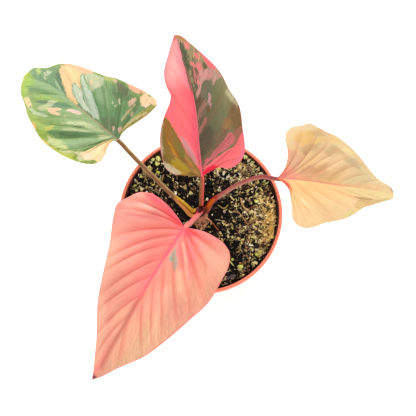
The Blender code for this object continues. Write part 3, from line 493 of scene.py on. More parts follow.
LEFT_PATCHES = [
    patch((166, 188, 130), 3, 1, 0.7, "both", [(80, 114), (100, 122), (113, 133), (104, 133), (90, 126),
          (72, 121), (60, 117)]),
    patch((186, 202, 30), 2.2, 1.2, 0.95, "both", [(21, 76), (26, 71), (31, 73), (31, 80), (29, 88),
          (25, 96), (21, 90)]),
    patch((150, 190, 56), 3, 1.5, 0.7, "both", [(27, 75), (33, 76), (36, 80), (33, 86), (28, 90),
          (25, 97), (22, 92), (22, 82)]),
    patch((176, 198, 96), 3, 1.5, 0.7, "both", [(33, 117), (38, 121), (53, 129), (44, 132), (38, 130),
          (34, 124)]),
    patch((94, 138, 66), 1.6, 1, 0.9, "both", [(26, 86), (48, 91), (58, 94.5), (46, 95), (30, 92)]),
    patch((118, 152, 98), 1.3, 1.5, 0.75, "right", [(44, 70), (59, 66), (60, 74), (62, 82), (56, 81),
          (50, 78), (47, 84), (40, 81)]),
    patch((90, 120, 86), 0.9, 0.8, 0.9, "right", [(59, 71), (64, 85), (65.5, 91), (68, 98), (64, 94),
          (60, 88), (57, 81), (55, 74)]),
    patch((176, 202, 156), 0.4, 0.8, 0.65, "right", [(54, 79), (57, 82), (65, 96), (61, 93),
          (57, 86)], 0.3),
    patch((200, 208, 162), 0.4, 1, 0.95, "right", [(44, 72), (48, 70.5), (52.5, 72), (49, 75), (46, 76.5),
          (43.5, 74)]),
    patch((202, 214, 172), 0.4, 0.8, 0.9, "right", [(43, 75.5), (45, 76), (46.5, 79.5), (44, 79)]),
    patch((192, 208, 108), 0.6, 1, 0.9, "right", [(36, 69), (40, 68), (41, 72.5), (38, 74.5)]),
    patch((156, 186, 68), 1.5, 1.5, 0.75, "left", [(32, 94), (44, 95), (56, 98), (68, 103), (58, 102.5),
          (46, 100), (36, 100)]),
    patch((108, 134, 94), 0.6, 0.8, 0.9, "left", [(35, 101), (40, 104), (45, 104.5), (49, 102),
          (48, 99.5), (43, 100.5)]),
    patch((104, 144, 102), 0.8, 0.8, 0.95, "left", [(50, 107.5), (53, 104), (58, 101.5), (66, 103),
          (74, 107.5), (66, 108.5), (58, 108.5)]),
    patch((198, 204, 160), 0.4, 0.8, 0.95, "left", [(46, 104.5), (47.5, 101.5), (52, 99.7), (58.5, 101.3),
          (54, 103.5), (51.5, 106.5), (49, 107.5)]),
    patch((202, 208, 150), 0.6, 1, 0.85, "left", [(36, 108.5), (40, 106), (45, 104.5), (49, 105.5),
          (48.5, 109.5), (42, 111)]),
    patch((247, 204, 160), 0.35, 0.8, 1, "left", [(46.5, 108.2), (52, 107.5), (60, 107.8), (62, 109.2),
          (60, 110.6), (54.5, 110.5), (56, 112), (60, 112.3), (58, 113.8), (62, 115), (56, 116),
          (51, 113.5), (48, 110.8)]),
    patch((247, 210, 188), 0.35, 0.6, 1, "left", [(65.5, 110.6), (70, 108.8), (76, 109.8), (82.5, 113.5),
          (78, 114.8)]),
    patch((242, 206, 162), 0.35, 0.4, 0.95, "left", [(64, 116.2), (66.3, 114.2), (67.3, 115.3),
          (65.5, 117.8)]),
    patch((198, 214, 170), 0.5, 0.8, 0.9, "left", [(29, 107), (37, 112), (42, 112.5), (48, 115.5),
          (46, 117.5), (35, 114.5), (31, 112)], 0.1),
    patch((122, 154, 110), 0.4, 0.8, 0.8, "left", [(37, 109.5), (43, 110.8), (47, 113.5), (42, 113),
          (38, 111.5)]),
    patch((212, 206, 84), 0.5, 0.8, 0.9, "left", [(45, 128), (49, 126), (54, 124.5), (54.5, 126),
          (51, 129), (46.5, 130.5)]),
    patch((208, 212, 162), 0.5, 0.8, 0.9, "left", [(60, 129.2), (70, 128.3), (80, 129.3), (94, 131.5),
          (84, 132.5), (70, 131)], 0.1),
    patch((220, 228, 168), 1.2, 1, 0.85, "left", [(60, 123), (84, 121), (96, 127), (104, 132), (94, 130),
          (80, 125.5)]),
    patch((86, 112, 72), 0.3, 0.3, 0.8, "left", [(72, 125.6), (80, 126.3), (84, 125.9), (84, 127.1),
          (79, 127.7), (73, 127)]),
    patch((44, 52, 36), 0.3, 0.2, 0.9, "left", [(82.9, 125.2), (84.1, 124.8), (84.5, 126.8),
          (83.2, 127.2)]),
    # A dark green band along a fold: partly the leaf's own colour, partly painted shade of the fold.
    patch((98, 136, 84), 0.6, 0.8, 0.95, "left", [(46, 131.5), (52, 130), (60, 130.8), (72, 131),
          (86, 132), (105, 134.2), (80, 137.6), (66, 138.8), (58, 138), (51, 135)]),
    patch((82, 116, 68), 1.2, 1, 0.8, "left", [(56, 132), (66, 132), (78, 133.5), (70, 136.5),
          (61, 136)]),
    patch((168, 198, 142), 1.2, 1.2, 0.85, "left", [(58, 141), (110, 136), (100, 141), (76, 149),
          (66, 148)]),
    patch((216, 226, 166), 0.8, 1, 0.9, "left", [(98, 134.8), (104, 134.8), (111, 136), (108, 138.8),
          (100, 139.2)]),
    patch((112, 148, 80), 0.6, 0.8, 0.85, "left", [(79, 151.5), (92, 145.5), (100, 141), (106, 139.5),
          (98, 146), (88, 150.5)]),
    patch((226, 234, 160), 1.3, 1.2, 0.85, "left", [(48, 136), (58, 140), (66, 144.5), (68, 149.5),
          (58, 148.5), (48, 143)]),
    patch((210, 214, 88), 1, 1.2, 0.9, "left", [(39, 137), (54, 148.5), (64, 152.5), (74, 154.5),
          (71, 160.5), (60, 158.5), (50, 152), (42, 145)]),
    patch((240, 202, 112), 0.5, 0.6, 0.9, "left", [(41, 138), (45, 140), (49, 144.5), (55, 149.5),
          (50, 150), (44, 144)]),
    patch((228, 224, 162), 0.4, 0.8, 0.9, "left", [(60, 150), (66, 150.8), (70, 150.2), (75, 152),
          (68, 153.4), (61, 152.2)], 0.1),
    patch((228, 222, 172), 0.6, 1, 0.9, "left", [(75.5, 152), (80, 151), (87, 153), (89, 158),
          (84, 161.5), (78, 161), (77, 156)]),
    patch((281, 246, 186), 0.35, 0.9, 1, "left", [(118, 140), (110, 140), (104, 142), (92, 148),
          (80, 153.5), (86, 160.5), (95, 160), (98, 163.5), (103, 161), (107, 154), (109, 146),
          (113, 142)]),
    patch((276, 246, 212), 1, 0.8, 0.8, "left", [(84, 153), (92, 153.5), (93, 157.5), (85, 159)]),
    patch((276, 232, 162), 1.5, 0.8, 0.8, "left", [(104, 142), (113, 140), (106, 155), (103, 150)]),
    patch((160, 188, 98), 0.5, 1, 0.85, "left", [(85, 160.6), (94, 160.4), (98, 163.7), (92, 165),
          (85, 164)], 0.15),
    patch((242, 216, 148), 0.5, 0.6, 0.95, "left", [(23.5, 98.5), (26, 96.5), (29.5, 98.5), (31.5, 104),
          (32, 107.5), (28.5, 107.8), (25.5, 103.5)]),
    patch((48, 52, 36), 0.3, 0.2, 0.95, "left", [(29.6, 105.8), (31.2, 105.8), (31.2, 107.4),
          (29.6, 107.4)]),
    patch((248, 190, 108), 0.5, 0.4, 0.9, "left", [(31, 121), (34, 122.5), (36.5, 126.5), (36.5, 129.5),
          (33.5, 128)]),
    patch((252, 208, 146), 0.35, 1.3, 1, "right", [(61, 66), (59, 70), (62, 82), (64.5, 88), (66, 94),
          (69, 99), (73, 103), (78, 104.8), (76, 99), (72.5, 94), (71.8, 88), (72.3, 84), (74, 82),
          (81.5, 90), (80, 78), (82, 73), (81, 67), (70, 63)]),
    patch((254, 230, 164), 1.3, 1, 0.8, "right", [(65, 67), (71, 67.5), (77, 73), (80.5, 81), (76, 79),
          (71, 73)]),
    patch((249, 192, 150), 0.9, 0.8, 0.95, "right", [(60, 65), (70, 66.5), (79, 69.5), (84, 74.3),
          (93, 75), (94, 69), (68, 62)]),
    patch((204, 214, 184), 0.35, 1, 1, "right", [(72, 88), (73.3, 82.3), (77, 85.3), (81.5, 90.5),
          (82.5, 97), (92, 115), (85, 110), (78.5, 102.5), (73, 94)]),
    patch((198, 212, 180), 0.4, 1, 1, "right", [(81, 76), (83, 74), (91, 94), (99, 120), (93.5, 117.5),
          (88, 108), (84, 98), (81.5, 88)]),
    patch((134, 154, 122), 0.5, 0.5, 0.7, "right", [(81.5, 84), (82.5, 84), (86, 97), (92, 112),
          (90.5, 111), (84.5, 99)]),
    patch((200, 206, 160), 0.6, 1, 1, "right", [(84, 74.3), (90, 73), (104, 77), (103.5, 84), (98.5, 88),
          (95, 88.5), (92, 93), (88, 85)]),
    patch((246, 208, 160), 0.4, 0.5, 0.9, "right", [(89.8, 81), (92, 80), (93.3, 84), (91, 86)]),
    patch((190, 206, 182), 1, 1, 0.9, "right", [(86, 90), (92, 91), (93, 99), (95.5, 103), (98, 113),
          (99, 119), (92, 112), (88, 102)]),
    patch((152, 180, 132), 1.5, 1.5, 0.7, "right", [(96, 89), (102, 87), (106, 96), (107, 106),
          (101, 103), (96.5, 98)]),
    patch((188, 192, 108), 0.6, 0.8, 0.9, "right", [(104, 75.5), (112, 77), (114, 81), (105, 80.5)]),
    patch((238, 192, 152), 0.4, 0.5, 0.9, "right", [(113, 79.5), (117.5, 79.5), (117.5, 82.5),
          (113.5, 83)]),
    patch((104, 100, 72), 1.8, 1.5, 0.85, "right", [(117, 81), (124, 83), (129, 90), (128, 97), (120, 94),
          (116, 87)]),
    patch((92, 116, 78), 2, 1.5, 0.7, "right", [(112, 84), (118, 90), (131, 99), (124, 101), (117, 100),
          (112, 94)]),
    patch((104, 120, 84), 1.5, 1, 0.7, "right", [(101, 119), (108, 117), (116, 119), (116, 130),
          (108, 131), (102, 127)]),
    patch((166, 188, 140), 0.5, 0.5, 0.55, "right", [(102.3, 80), (104, 81.5), (108.3, 93), (111, 129),
          (109.3, 129), (105.8, 93)]),
    patch((216, 218, 172), 0.35, 0.5, 0.95, "right", [(110.5, 103.5), (113, 100.5), (114.3, 102),
          (112, 105)]),
    patch((216, 218, 172), 0.35, 0.5, 0.95, "right", [(114, 106.5), (116, 103.5), (117.3, 105),
          (115.3, 108)]),
    patch((216, 218, 172), 0.35, 0.5, 0.95, "right", [(118.3, 103.5), (118.8, 98.5), (120.8, 98.8),
          (120.3, 105)]),
    patch((244, 206, 170), 0.35, 0.6, 1, "right", [(128, 103), (131, 99), (135, 97.3), (136.8, 100),
          (133, 104.5), (129, 107.5)]),
    patch((208, 194, 144), 0.4, 0.4, 0.85, "right", [(135, 103), (136.5, 104), (122, 121.5),
          (120.3, 120.5), (127, 111.5)]),
    patch((232, 208, 162), 0.35, 0.5, 0.95, "right", [(130, 115.5), (132, 111.5), (134, 112),
          (132, 117)]),
    patch((270, 200, 160), 0.6, 0.6, 0.95, "right", [(123, 77), (133, 79.5), (143, 83), (153, 88),
          (147, 92.5), (139, 94), (134, 92), (129.5, 88.5)]),
    patch((272, 230, 180), 0.35, 1.3, 1, "right", [(141, 95), (146, 93), (150, 90), (157, 93), (162, 100),
          (160, 106), (154, 105.3), (150, 105.8), (146, 108.3), (142, 105.8), (140.5, 103), (139.3, 99)]),
    patch((160, 174, 92), 0.4, 0.5, 0.9, "right", [(138.5, 94), (142, 92.2), (143.2, 94.5), (141, 96.3)]),
    patch((178, 186, 100), 0.4, 0.5, 0.9, "right", [(147.5, 95), (150, 93), (152, 96.2), (149.5, 97.3)]),
    patch((178, 172, 86), 0.6, 0.8, 0.95, "right", [(158, 105.5), (152, 105.8), (146, 108.7),
          (138, 113.8), (131, 119), (124, 125.5), (118.5, 132.5), (121, 136), (133, 124), (140, 118),
          (148, 113), (158, 109)]),
    patch((226, 206, 146), 0.35, 0.6, 0.9, "right", [(148, 111), (139, 115), (130, 121), (120, 130),
          (121, 131.5), (131, 123), (140, 117), (149, 112.5)], 0.15),
    patch((242, 190, 130), 0.45, 0.5, 0.95, "right", [(159, 107.5), (149, 112.5), (132, 125.3),
          (124, 132), (120.5, 138), (124, 137), (132, 129.5), (151, 114.5), (159, 111)]),
    patch((240, 196, 168), 0.35, 0.5, 0.95, "right", [(112, 127), (114, 125.5), (114.8, 129.5),
          (113, 131.5)]),
    patch((240, 196, 168), 0.35, 0.5, 0.95, "right", [(117, 128.5), (121.5, 126.3), (122.5, 129),
          (119, 132.8)]),
]
RIGHT_PATCHES = [
    patch((222, 166, 134), 2, 1, 0.8, "left", [(288, 150), (296, 150), (303, 158), (298, 168), (291, 173),
          (287, 162)]),
    patch((250, 147, 129), 3, 0.8, 0.85, "left", [(272, 176), (281, 164), (285, 148), (289, 152),
          (288, 163), (292, 170), (302, 176), (294, 180), (282, 180)]),
    patch((244, 112, 112), 2, 0.6, 0.8, "left", [(272, 176), (281, 166), (285, 169), (287, 173),
          (285, 178), (278, 179)]),
    patch((214, 154, 110), 1.5, 1.2, 0.85, "left", [(297, 173), (303, 168), (312, 165), (318, 168),
          (312, 174), (304, 176)]),
    patch((184, 128, 96), 1, 0.8, 0.8, "left", [(302, 150), (306, 150), (308, 154), (304, 156)]),
    patch((204, 146, 98), 1.4, 1.4, 0.65, "left", [(312, 171), (318, 166), (327, 162), (329, 165),
          (322, 171), (315, 175)]),
    patch((222, 152, 112), 1.2, 1, 0.7, "left", [(300, 177), (310, 175.5), (330, 166), (324, 173),
          (312, 179)]),
    patch((214, 168, 108), 1.3, 1.2, 0.8, "left", [(326, 180), (334, 172), (344, 165), (351, 165),
          (343, 173), (335, 179), (330, 182)]),
    patch((216, 166, 112), 1.5, 1.2, 0.7, "left", [(316, 175), (326, 172), (338, 164), (334, 170),
          (325, 178), (318, 180)]),
    patch((246, 202, 146), 1.8, 1, 0.8, "left", [(318, 160), (326, 156), (330, 159), (322, 164),
          (312, 164)]),
    patch((246, 204, 148), 1.8, 1, 0.8, "left", [(326, 168), (334, 160), (345, 155.5), (350, 158),
          (340, 163), (330, 171)]),
    patch((200, 158, 106), 2, 1.2, 0.8, "left", [(298, 148), (308, 144), (321, 143), (318, 149),
          (310, 152), (301, 154)]),
    patch((204, 166, 112), 2, 1.2, 0.8, "left", [(322, 149), (331, 144), (342, 147), (349, 155),
          (340, 154), (330, 156), (325, 153)]),
    patch((236, 208, 146), 1.3, 1, 0.85, "left", [(335, 144), (345, 145), (357, 157), (350, 158)]),
    patch((202, 172, 124), 1.5, 1, 0.85, "left", [(343, 157), (352, 157), (366, 169), (360, 170.5),
          (350, 166), (345, 162)]),
    patch((232, 204, 146), 1.5, 1, 0.8, "left", [(358, 163), (368, 172), (384, 185), (376, 184),
          (364, 174)]),
    patch((218, 192, 136), 1.5, 1.2, 0.8, "left", [(340, 183), (349, 176), (357, 173), (366, 173),
          (374, 181), (362, 185), (350, 185)]),
    patch((228, 182, 98), 1.2, 1, 0.75, "left", [(293, 141), (296, 135), (303, 131.5), (310, 130.5),
          (316, 132.5), (313, 137), (305, 141), (297, 143)]),
    patch((228, 172, 84), 0.8, 0.8, 0.7, "left", [(299, 144.5), (304, 140.5), (313, 138), (318, 138.5),
          (309, 142), (303, 146)]),
    patch((230, 188, 110), 1.2, 1, 0.8, "left", [(303, 142), (312, 138.5), (322, 136.5), (332, 137),
          (342, 141), (336, 142.8), (326, 141.8), (308, 144)]),
    patch((206, 160, 110), 1.2, 1, 0.65, "left", [(310, 133), (316, 130), (325, 130.5), (333, 134),
          (326, 136.3), (317, 136.5)]),
    patch((214, 158, 104), 0.4, 0.5, 0.85, "left", [(341, 136), (352, 146), (364, 159.5), (362.3, 161.3),
          (350.7, 148.6), (340, 139)]),
    patch((232, 200, 156), 1.5, 1, 0.8, "left", [(312, 121), (320, 127), (312, 130), (300, 130),
          (291, 133), (287, 141), (281, 136), (292, 126)]),
    patch((254, 198, 130), 3, 1, 0.8, "right", [(290, 181), (305, 183), (313, 191), (305, 197),
          (296, 192)]),
    patch((256, 234, 178), 0.5, 0.4, 0.7, "right", [(293.5, 190), (311.5, 208), (310, 208.8),
          (300, 200.3), (293.3, 192.3)]),
    patch((234, 208, 138), 1.8, 1, 0.85, "right", [(343, 187), (375, 190), (392, 191), (394, 198),
          (380, 199), (365, 196), (350, 194)]),
    patch((244, 196, 140), 1.8, 1, 0.7, "right", [(312, 200), (322, 206), (334, 219), (326, 222),
          (316, 210)]),
    patch((226, 184, 118), 0.9, 1.2, 0.95, "right", [(354, 204), (360, 198.5), (368, 199), (377, 200.5),
          (373, 206), (362, 210), (356, 209)]),
    patch((180, 148, 86), 0.4, 0.5, 0.9, "right", [(353, 196.5), (374, 199), (370, 200.3), (360, 199.2)]),
    patch((232, 212, 136), 1.2, 1, 0.8, "right", [(342, 217), (352, 208), (356, 209), (352, 216)]),
    patch((206, 182, 110), 0.8, 0.8, 0.8, "right", [(374, 200), (392, 198), (386, 203), (376, 204)]),
    patch((252, 128, 96), 0.7, 0.3, 0.8, "flat", [(4, -0.5), (9, -3.5), (11, -9), (10.5, -15), (8, -12),
          (6, -5)]),
    patch((250, 50, 60), 0.3, 0.15, 1, "flat", [(0, 0.4), (3, -0.5), (5.8, -2.2), (8.8, -5.2),
          (9.6, -8.5), (8.4, -8.5), (6, -5), (3, -3), (0, -2)]),
    patch((204, 122, 108), 1.2, 0.4, 0.8, "both", [(390, 187), (392.5, 187.5), (395, 191), (394, 194),
          (391.5, 192)]),
]

# Leaf colours. Each half has its ground colours from midrib to edge. The valley colour is painted shade, a
# darker band on the base side of each vein where the quilted blade turns from the light. paint is the share
# of a patch's colour that its paint has, because the light and the gloss add the rest.
LEAF_LOOKS = {
    "front": {
        "left": [(0, (243, 137, 123)), (0.3, (229, 142, 121)), (0.7, (220, 144, 118)),
                  (1, (221, 148, 124))],
        "right": [(0, (247, 125, 122)), (0.3, (242, 135, 122)), (0.7, (234, 147, 127)),
                  (1, (237, 169, 141))],
        "midrib": ((250, 98, 110), 1.5, 66),
        "creases": {"left": ((224, 128, 106), 1, 0.3), "right": ((206, 82, 80), 1.1, 0.45)},
        "valley_shade": ((216, 102, 90), 0.52),
        "margin": ((250, 118, 114), 0.9, 0.7),
        "under": (226, 150, 140),
        "flecks": ((236, 140, 118), 0.585, 0.35),
        "uneven": 0.09,
        "paint": 0.98,
        "patches": FRONT_PATCHES,
    },
    "back": {
        "left": [(0, (243, 80, 96)), (0.2, (248, 96, 106)), (0.6, (250, 108, 110)), (1, (250, 102, 110))],
        "right": [(0, (86, 79, 53)), (0.3, (93, 93, 63)), (0.7, (110, 109, 72)), (1, (136, 129, 86))],
        "midrib": ((246, 100, 122), 0.6, 85),
        "creases": {"left": ((240, 92, 106), 0.8, 0.12), "right": ((88, 86, 66), 0.8, 0.13)},
        "valley_shade": ((170, 90, 84), 0.15),
        "margin": ((232, 104, 110), 0.5, 0.6),
        "under": (176, 120, 118),
        "flecks": ((214, 130, 118), 0.6, 0.5),
        "uneven": 0.09,
        "paint": 0.955,
        "patches": BACK_PATCHES,
    },
    "left": {
        "left": [(0, (125, 152, 102)), (0.35, (125, 152, 97)), (0.7, (119, 144, 76)),
                  (1, (131, 151, 52))],
        "right": [(0, (95, 128, 88)), (0.4, (99, 134, 86)), (0.8, (107, 138, 85)), (1, (125, 154, 78))],
        "midrib": ((170, 136, 108), 0.6, 62),
        "creases": {"left": ((84, 116, 72), 0.8, 0.25), "right": ((80, 110, 72), 0.8, 0.2)},
        "valley_shade": ((96, 130, 84), 0.15),
        "margin": ((188, 178, 92), 0.5, 0.6),
        "under": (168, 190, 150),
        "flecks": ((190, 196, 150), 0.585, 0.75),
        "uneven": 0.14,
        "paint": 0.865,
        "patches": LEFT_PATCHES,
    },
    "right": {
        "left": [(0, (217, 163, 112)), (0.3, (214, 172, 121)), (0.7, (208, 176, 127)),
                  (1, (210, 177, 121))],
        "right": [(0, (230, 180, 119)), (0.3, (229, 186, 127)), (0.7, (228, 190, 137)),
                  (1, (223, 188, 139))],
        "midrib": ((212, 122, 106), 0.8, 72),
        "creases": {"left": ((182, 122, 84), 0.7, 0.3), "right": ((222, 160, 104), 0.7, 0.35)},
        "valley_shade": ((200, 142, 98), 0.4),
        "margin": ((216, 154, 102), 0.5, 0.5),
        "under": (228, 196, 152),
        "flecks": ((206, 158, 112), 0.6, 0.35),
        "uneven": 0.05,
        "paint": 0.905,
        "patches": RIGHT_PATCHES,
    },
}

# Stalk colours, from one side to the other, then round the sheath from one side to the other, on its
# rims, in its groove and at its foot, with how far up the foot's colour reaches
STALK_LOOKS = {
    "left": {
        "sides": [(146, 104, 66), (118, 86, 54), (186, 154, 102)],
        "sheath": [(212, 142, 76), (222, 174, 50)],
        "rim": (228, 178, 50),
        "inside": (208, 166, 48),
        "foot": ((190, 136, 44), 3.0),
    },
    "back": {
        "sides": [(124, 100, 58), (160, 88, 62), (226, 84, 76)],
        "sheath": [(112, 58, 44), (200, 62, 62)],
        "rim": (150, 44, 50),
        "inside": (70, 20, 24),
        "foot": ((78, 18, 26), 8.0),
    },
    "right": {
        "sides": [(146, 66, 66), (152, 68, 66), (186, 124, 104)],
        "sheath": [(158, 44, 38), (158, 72, 64)],
        "rim": (186, 58, 40),
        "inside": (228, 138, 24),
        "foot": ((154, 80, 66), 6.0),
    },
    "front": {
        "sides": [(226, 128, 116), (250, 118, 124), (244, 78, 104)],
        "sheath": [(206, 116, 104), (236, 60, 92)],
        "rim": (236, 34, 78),
        "inside": (120, 26, 42),
        "foot": ((206, 34, 66), 5.0),
    },
}

# Studio. A light is (name, place in metres, size in metres, power in watts).
LIGHTS = [
    ("key", (-0.45, 1.35, 1.35), 2.0, 29.0),
    ("fill", (0.9, -0.9, 0.9), 1.2, 5.0),
]
LIGHTS_FACE = (0.0, 0.0, 0.12)
FLOOR_REACH = 3.0


def rgb(red, green, blue):
    """A screen colour from 0 to 255 as the linear colour that a shader takes."""
    return tuple((c / 255.0) ** 2.2 for c in (red, green, blue)) + (1.0,)


class Paint:
    """A node material, built with short calls. A value is a number, a colour or another node's socket."""

    def __init__(self, name, roughness=0.5, specular=0.5):
        self.material = bpy.data.materials.new(name)
        self.material.use_nodes = True
        self.tree = self.material.node_tree
        self.shader = self.tree.nodes["Principled BSDF"]
        self.shader.inputs["Roughness"].default_value = roughness
        self.shader.inputs["Specular IOR Level"].default_value = specular

    def put(self, socket, value):
        """Links a node's socket to the socket, or sets the socket to a plain value."""
        if isinstance(value, bpy.types.NodeSocket):
            self.tree.links.new(value, socket)
        else:
            socket.default_value = value

    def finish(self, colour, roughness=None, bump=None, bump_mm=0.1):
        """Sets the shader's colour, roughness and bump, whose height of 1 is bump_mm."""
        self.put(self.shader.inputs["Base Color"], colour)
        if roughness is not None:
            self.put(self.shader.inputs["Roughness"], roughness)
        if bump is not None:
            node = self.tree.nodes.new("ShaderNodeBump")
            node.inputs["Distance"].default_value = MM * bump_mm
            self.put(node.inputs["Height"], bump)
            self.put(self.shader.inputs["Normal"], node.outputs["Normal"])
        return self.material

    def attribute(self, name, output="Fac"):
        node = self.tree.nodes.new("ShaderNodeAttribute")
        node.attribute_name = name
        return node.outputs[output]

    def place(self):
        """The surface's place on the object, in millimetres."""
        node = self.tree.nodes.new("ShaderNodeTexCoord")
        return self.times(node.outputs["Object"], (1000.0, 1000.0, 1000.0))

    def height(self, place):
        """The height of a place."""
        node = self.tree.nodes.new("ShaderNodeSeparateXYZ")
        self.put(node.inputs[0], place)
        return node.outputs["Z"]

    def math(self, operation, a, b=0.0):
        node = self.tree.nodes.new("ShaderNodeMath")
        node.operation = operation
        self.put(node.inputs[0], a)
        self.put(node.inputs[1], b)
        return node.outputs[0]

    def times(self, vector, scale):
        node = self.tree.nodes.new("ShaderNodeVectorMath")
        node.operation = "MULTIPLY"
        self.put(node.inputs[0], vector)
        self.put(node.inputs[1], scale)
        return node.outputs[0]

    def step(self, value, low, high, start=0.0, end=1.0):
        """A smooth step from start at low to end at high."""
        node = self.tree.nodes.new("ShaderNodeMapRange")
        node.interpolation_type = "SMOOTHSTEP"
        for socket, x in zip(node.inputs, (value, low, high, start, end)):
            self.put(socket, x)
        return node.outputs[0]

    def noise(self, vector, scale=1.0, detail=3.0, roughness=0.55):
        node = self.tree.nodes.new("ShaderNodeTexNoise")
        self.put(node.inputs["Vector"], vector)
        node.inputs["Scale"].default_value = scale
        node.inputs["Detail"].default_value = detail
        node.inputs["Roughness"].default_value = roughness
        return node.outputs["Fac"]

    def mix(self, share, a, b, blend="MIX"):
        node = self.tree.nodes.new("ShaderNodeMix")
        node.data_type = "RGBA"
        node.blend_type = blend
        self.put(node.inputs[0], share)
        self.put(node.inputs[6], a)
        self.put(node.inputs[7], b)
        return node.outputs[2]

    def ramp(self, value, stops):
        """A colour that runs through the stops, each (place, (red, green, blue))."""
        node = self.tree.nodes.new("ShaderNodeValToRGB")
        elements = node.color_ramp.elements
        while len(elements) < len(stops):
            elements.new(1.0)
        for element, (place, colour) in zip(elements, stops):
            element.position = place
            element.color = rgb(*colour)
        self.put(node.inputs[0], value)
        return node.outputs[0]

    def shade(self, colour, amount):
        """A colour made lighter or darker by an amount about 1."""
        node = self.tree.nodes.new("ShaderNodeVectorMath")
        node.operation = "SCALE"
        self.put(node.inputs[0], colour)
        self.put(node.inputs["Scale"], amount)
        return node.outputs[0]


def make_mesh(name, points, faces, values=None, vectors=None):
    """A mesh from points in millimetres, with what its paint reads at each point."""
    mesh = bpy.data.meshes.new(name)
    mesh.from_pydata((MM * np.asarray(points, float)).tolist(), [], [list(map(int, f)) for f in faces])
    for kind, width, table in (("FLOAT", "value", values), ("FLOAT_VECTOR", "vector", vectors)):
        for key, value in (table or {}).items():
            attribute = mesh.attributes.new(key, kind, "POINT")
            attribute.data.foreach_set(width, np.ravel(value).astype(np.float32))
    return mesh


def add_piece(name, mesh, material, replaces=None, smooth_angle=None):
    """A piece of the plant or pot on the one body, shaded smooth below an angle or flat."""
    mesh.materials.append(material)
    if smooth_angle is not None:
        mesh.shade_smooth()
        mesh.set_sharp_from_angle(angle=math.radians(smooth_angle))
    piece = bpy.data.objects.new(name, mesh)
    bpy.context.scene.collection.objects.link(piece)
    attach(piece, "root")
    if replaces:
        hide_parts(replaces)
    return piece


def face_outwards(mesh):
    """Turns all faces of a mesh outwards."""
    body = bmesh.new()
    body.from_mesh(mesh)
    bmesh.ops.recalc_face_normals(body, faces=body.faces)
    body.to_mesh(mesh)
    body.free()


def spline(points, samples):
    """A centripetal Catmull-Rom curve through the points, with this many samples for each span."""
    known = np.array(points, float)
    ends = np.vstack([2 * known[0] - known[1], known, 2 * known[-1] - known[-2]])
    curve = []
    for i in range(len(known) - 1):
        a, b, c, d = ends[i:i + 4]
        t1 = np.linalg.norm(b - a) ** 0.5
        t2 = t1 + np.linalg.norm(c - b) ** 0.5
        t3 = t2 + np.linalg.norm(d - c) ** 0.5
        for k in range(samples):
            t = t1 + (t2 - t1) * k / samples
            ab = a + (b - a) * t / t1
            bc = b + (c - b) * (t - t1) / (t2 - t1)
            cd = c + (d - c) * (t - t2) / (t3 - t2)
            abc = ab + (bc - ab) * t / t2
            bcd = bc + (cd - bc) * (t - t1) / (t3 - t1)
            curve.append(abc + (bcd - abc) * (t - t1) / (t2 - t1))
    curve.append(known[-1])
    return np.array(curve)


def along(curve, shares):
    """Points of a curve at these shares of its length."""
    steps = np.linalg.norm(np.diff(curve, axis=0), axis=1)
    length = np.concatenate([[0.0], np.cumsum(steps)])
    wanted = np.asarray(shares) * length[-1]
    return np.stack([np.interp(wanted, length, curve[:, i]) for i in range(curve.shape[1])], axis=-1)


def unit(vectors):
    """The vectors at length 1."""
    return vectors / np.linalg.norm(vectors, axis=-1, keepdims=True)


def lumps(points, width, seed):
    """Smooth noise from -1 to 1 at each point, with lumps of this width."""
    offset = Vector((3.1 * seed, 7.7 * seed, 1.9 * seed))
    return np.array([noise.noise(Vector(p) / width + offset) for p in np.atleast_2d(points)])


class Midrib:
    """A blade's midrib in space, with the blade's own axes along it."""

    def __init__(self, blade):
        self.curve = spline(blade["midrib"], 24)
        steps = np.linalg.norm(np.diff(self.curve, axis=0), axis=1)
        self.at = np.concatenate([[0.0], np.cumsum(steps)])
        self.length = self.at[-1]
        self.roll = math.radians(blade["roll"])

    def point(self, s):
        """Points of the midrib at these distances along it."""
        s = np.clip(s, 0.0, self.length)
        return np.stack([np.interp(s, self.at, self.curve[:, i]) for i in range(3)], axis=-1)

    def axes(self, s):
        """(point, along, left, up) at these distances. Past an end the midrib runs on straight."""
        s = np.asarray(s, float)
        on = np.clip(s, 0.0, self.length)
        ahead = unit(self.point(on + 2.0) - self.point(on - 2.0))
        left = unit(np.cross((0.0, 0.0, 1.0), ahead))
        up = np.cross(ahead, left)
        cos, sin = math.cos(self.roll), math.sin(self.roll)
        left, up = left * cos + up * sin, up * cos - left * sin
        return self.point(on) + (s - on)[..., None] * ahead, ahead, left, up


def vein_grid(blade, side, length, rows, columns):
    """Flat (s, w) of points along each row, and each row's start on the midrib and share of the edge.

    A row is a number of veins: 0 is the notch, 1 the first vein and the last is the tip.
    """
    numbers = np.arange(len(blade["veins"]) + 2)
    starts = np.interp(rows, numbers, [0.0, *blade["veins"], length])
    shares = np.interp(rows, numbers, [0.0, *blade[side]["vein_ends"], 1.0])
    ends = along(spline(blade[side]["edge"], 12), shares)
    notch = along(spline(blade[side]["notch"], 12), columns)
    bend = math.radians(blade[side]["vein_bend"]) * (1.0 if side == "left" else -1.0)
    u = np.asarray(columns)[:, None]
    grid = []
    for at, end in zip(starts, ends):
        start = np.array([at, 0.0])
        chord = end - start
        middle = start + 0.5 * np.array([
            chord[0] * math.cos(bend) - chord[1] * math.sin(bend),
            chord[0] * math.sin(bend) + chord[1] * math.cos(bend),
        ])
        grid.append((1 - u) ** 2 * start + 2 * u * (1 - u) * middle + u ** 2 * end)
    grid = np.array(grid)
    correction = notch - grid[0]
    for i, row in enumerate(rows):
        grid[i] += correction * max(0.0, 1.0 - (row / blade["notch_reach"]) ** 2)
    return grid, starts, shares


